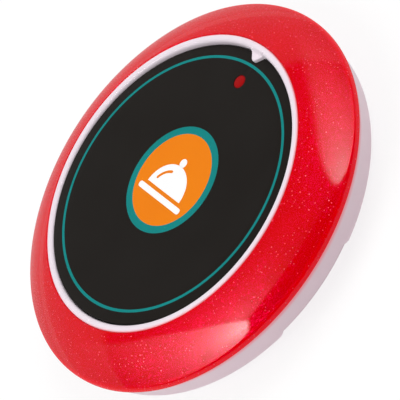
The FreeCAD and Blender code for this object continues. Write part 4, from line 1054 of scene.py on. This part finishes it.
FLOOR_GREY, FLOOR_GLOW = 0.25, 0.75
FLOOR_GIVEN_BACK, FLOOR_MIRRORED = 0.62, 0.45


def make_floor():
    """White table: grey underneath its own faint glow, so that it is white and keeps the shadow. It
    is clear from below, and for light from below."""
    floor = flat_square("floor", FLOOR_HALF)
    shader = new_finish("floor_white", Roughness=0.9, Specular_IOR_Level=0.0,
                        Emission_Color=(1.0, 1.0, 1.0, 1.0))
    tree = shader.id_data
    seen = seen_share(tree, FLOOR_MIRRORED)
    feed(spread(seen, FLOOR_GIVEN_BACK, FLOOR_GREY, 0.0, 1.0), shader, "Base Color")
    feed(product(seen, FLOOR_GLOW), shader, "Emission Strength")
    behind = add(tree, "NewGeometry", {}).outputs["Backfacing"]
    clear = calculate("MAXIMUM", behind, add(tree, "LightPath", {}).outputs["Is Shadow Ray"])
    through = add(tree, "BsdfTransparent", {}).outputs[0]
    blend = add(tree, "MixShader", {0: clear, 1: shader.outputs[0], 2: through}).outputs[0]
    feed(blend, tree.nodes["Material Output"], "Surface")
    floor.data.materials.append(FINISHES["floor_white"])


# Card over the object, which only mirrors see. Places on it are slopes: sideways over up, as seen
# from the middle of the object. Light levels are what a full clear coat would mirror.
CARD_HEIGHT, CARD_REACH = 0.5, 8.0
DIM_LEVEL, FAR_LEVEL = 0.03, 0.28
FAR_EDGE, FAR_SOFTNESS = -1.0, 0.2
FLAG_EDGE, FLAG_SOFTNESS = 0.43, 0.06
RIGHT_BOX = {
    "corners": [(-0.85, 0.98), (-0.3, 0.625), (0.02, 0.55), (0.18, 0.565), (0.35, 0.615),
                (0.44, 0.695), (0.447, 0.79), (0.42, 2.0)],
    "softness": (0.24, 0.2, 0.12, 0.08, 0.06, 0.06, 0.05),
    "tip": (0.35, 0.78), "near": (2.6, 0.25), "wide": (2.2, 0.7),
}
LEFT_BOX = {
    "corners": [(0.58, -2.0), (0.58, -0.6), (0.45, -0.475), (0.2, -0.49), (0.0, -0.53),
                (-0.4, -0.63), (-0.9, -0.98)],
    "softness": (0.05, 0.05, 0.05, 0.06, 0.08, 0.12),
    "tip": (0.46, -0.56), "near": (8.0, 0.16), "wide": (3.2, 0.55),
}
SPILL_TIP, SPILL_LEVEL, SPILL_REACH = (0.3, -0.48), 2.0, 0.2


def soft_side(place, start, end, softness):
    """Share that rises smoothly from zero to one across a line, and is one on the line's left."""
    along = (Vector(end) - Vector(start)).normalized()
    left = Vector((-along.y, along.x))
    middle = Vector(start).dot(left)
    depth = measure("DOT_PRODUCT", place, (*left, 0.0))
    return smooth(depth, middle - softness / 2, middle + softness / 2)


def fading(place, tip, level, reach):
    """Level that falls away from a point: level times e to the minus distance over reach."""
    away = measure("DISTANCE", place, (*tip, 0.0))
    return product(calculate("EXPONENT", product(away, -1 / reach)), level)


def soft_box(place, box):
    """Light of one soft box: inside its soft-edged outline, brightest at its tip."""
    corners = box["corners"]
    sides = [soft_side(place, start, end, softness)
             for start, end, softness in zip(corners, corners[1:], box["softness"])]
    light = total_of(fading(place, box["tip"], *box["near"]), fading(place, box["tip"], *box["wide"]))
    return product(light, *sides)


def make_card():
    """Level card with two soft boxes, a dim middle, a brighter far side and a black near side."""
    card = flat_square("studio_card", CARD_HEIGHT * CARD_REACH)
    card.location.z = CARD_HEIGHT
    material = bpy.data.materials.new("studio_card")
    material.use_nodes = True
    tree = material.node_tree
    tree.nodes.remove(tree.nodes["Principled BSDF"])
    own_place = add(tree, "TexCoord", {}).outputs["Object"]
    place = add(tree, "Mapping", {"Vector": own_place, "Scale": (1 / CARD_HEIGHT,) * 3}).outputs[0]
    before_flag = soft_side(place, (FLAG_EDGE, -1), (FLAG_EDGE, 1), FLAG_SOFTNESS)
    far = soft_side(place, (FAR_EDGE, -1), (FAR_EDGE, 1), FAR_SOFTNESS)
    spill = fading(place, SPILL_TIP, SPILL_LEVEL, SPILL_REACH)
    light = total_of(product(before_flag, DIM_LEVEL), product(far, FAR_LEVEL),
                     product(before_flag, spill), soft_box(place, RIGHT_BOX),
                     soft_box(place, LEFT_BOX))
    shining = add(tree, "Emission", {"Color": (1, 1, 1, 1), "Strength": product(light, 1 / CLEAR_COAT)})
    feed(shining.outputs[0], tree.nodes["Material Output"], "Surface")
    card.data.materials.append(material)
    card.visible_camera = card.visible_diffuse = card.visible_shadow = False
    card.visible_transmission = card.visible_volume_scatter = False


LAMP_DISTANCE = 0.7
LAMPS = (
    ("lamp_right", 105, 48, 0.45, 0.36),
    ("lamp_left", -78, 48, 0.45, 0.36),
    ("lamp_top", 180, 80, 0.5, 0.10),
    ("lamp_below", 0, -90, 0.6, 0.6),
)
WORLD_LEVEL = 0.5


def make_lamp(name, azimuth, elevation, size, level):
    """Soft square lamp aimed at the object. Its level is what a white surface that faces it shows."""
    data = bpy.data.lights.new(name, "AREA")
    data.shape, data.size = "SQUARE", size
    data.energy = level * math.pi ** 2 * LAMP_DISTANCE ** 2
    lamp = new_object(name, data)
    flat = math.cos(math.radians(elevation))
    away = Vector((*polar(flat, azimuth), math.sin(math.radians(elevation))))
    lamp.location = away * LAMP_DISTANCE
    lamp.rotation_mode = "QUATERNION"
    lamp.rotation_quaternion = away.to_track_quat("Z", "Y")
    lamp.visible_glossy = False


def make_world():
    """White to the camera and in mirrors, dim to everything that it lights."""
    world = bpy.data.worlds.new("studio")
    world.use_nodes = True
    background = world.node_tree.nodes["Background"]
    background.inputs["Color"].default_value = (1.0, 1.0, 1.0, 1.0)
    seen = seen_share(world.node_tree)
    feed(spread(seen, WORLD_LEVEL, 1.0, 0.0, 1.0), background, "Strength")
    bpy.context.scene.world = world


def make_studio():
    """All that stands around the object, and the plain view of colours."""
    make_floor()
    make_world()
    make_card()
    for lamp in LAMPS:
        make_lamp(*lamp)
    bpy.context.scene.view_settings.view_transform = "Standard"


dress_packed_nodes()
make_ring()
make_case()
make_shell()
make_feet()
make_door()
make_case_screws()
make_film()
make_window()
make_print()
make_studio()
make_camera()
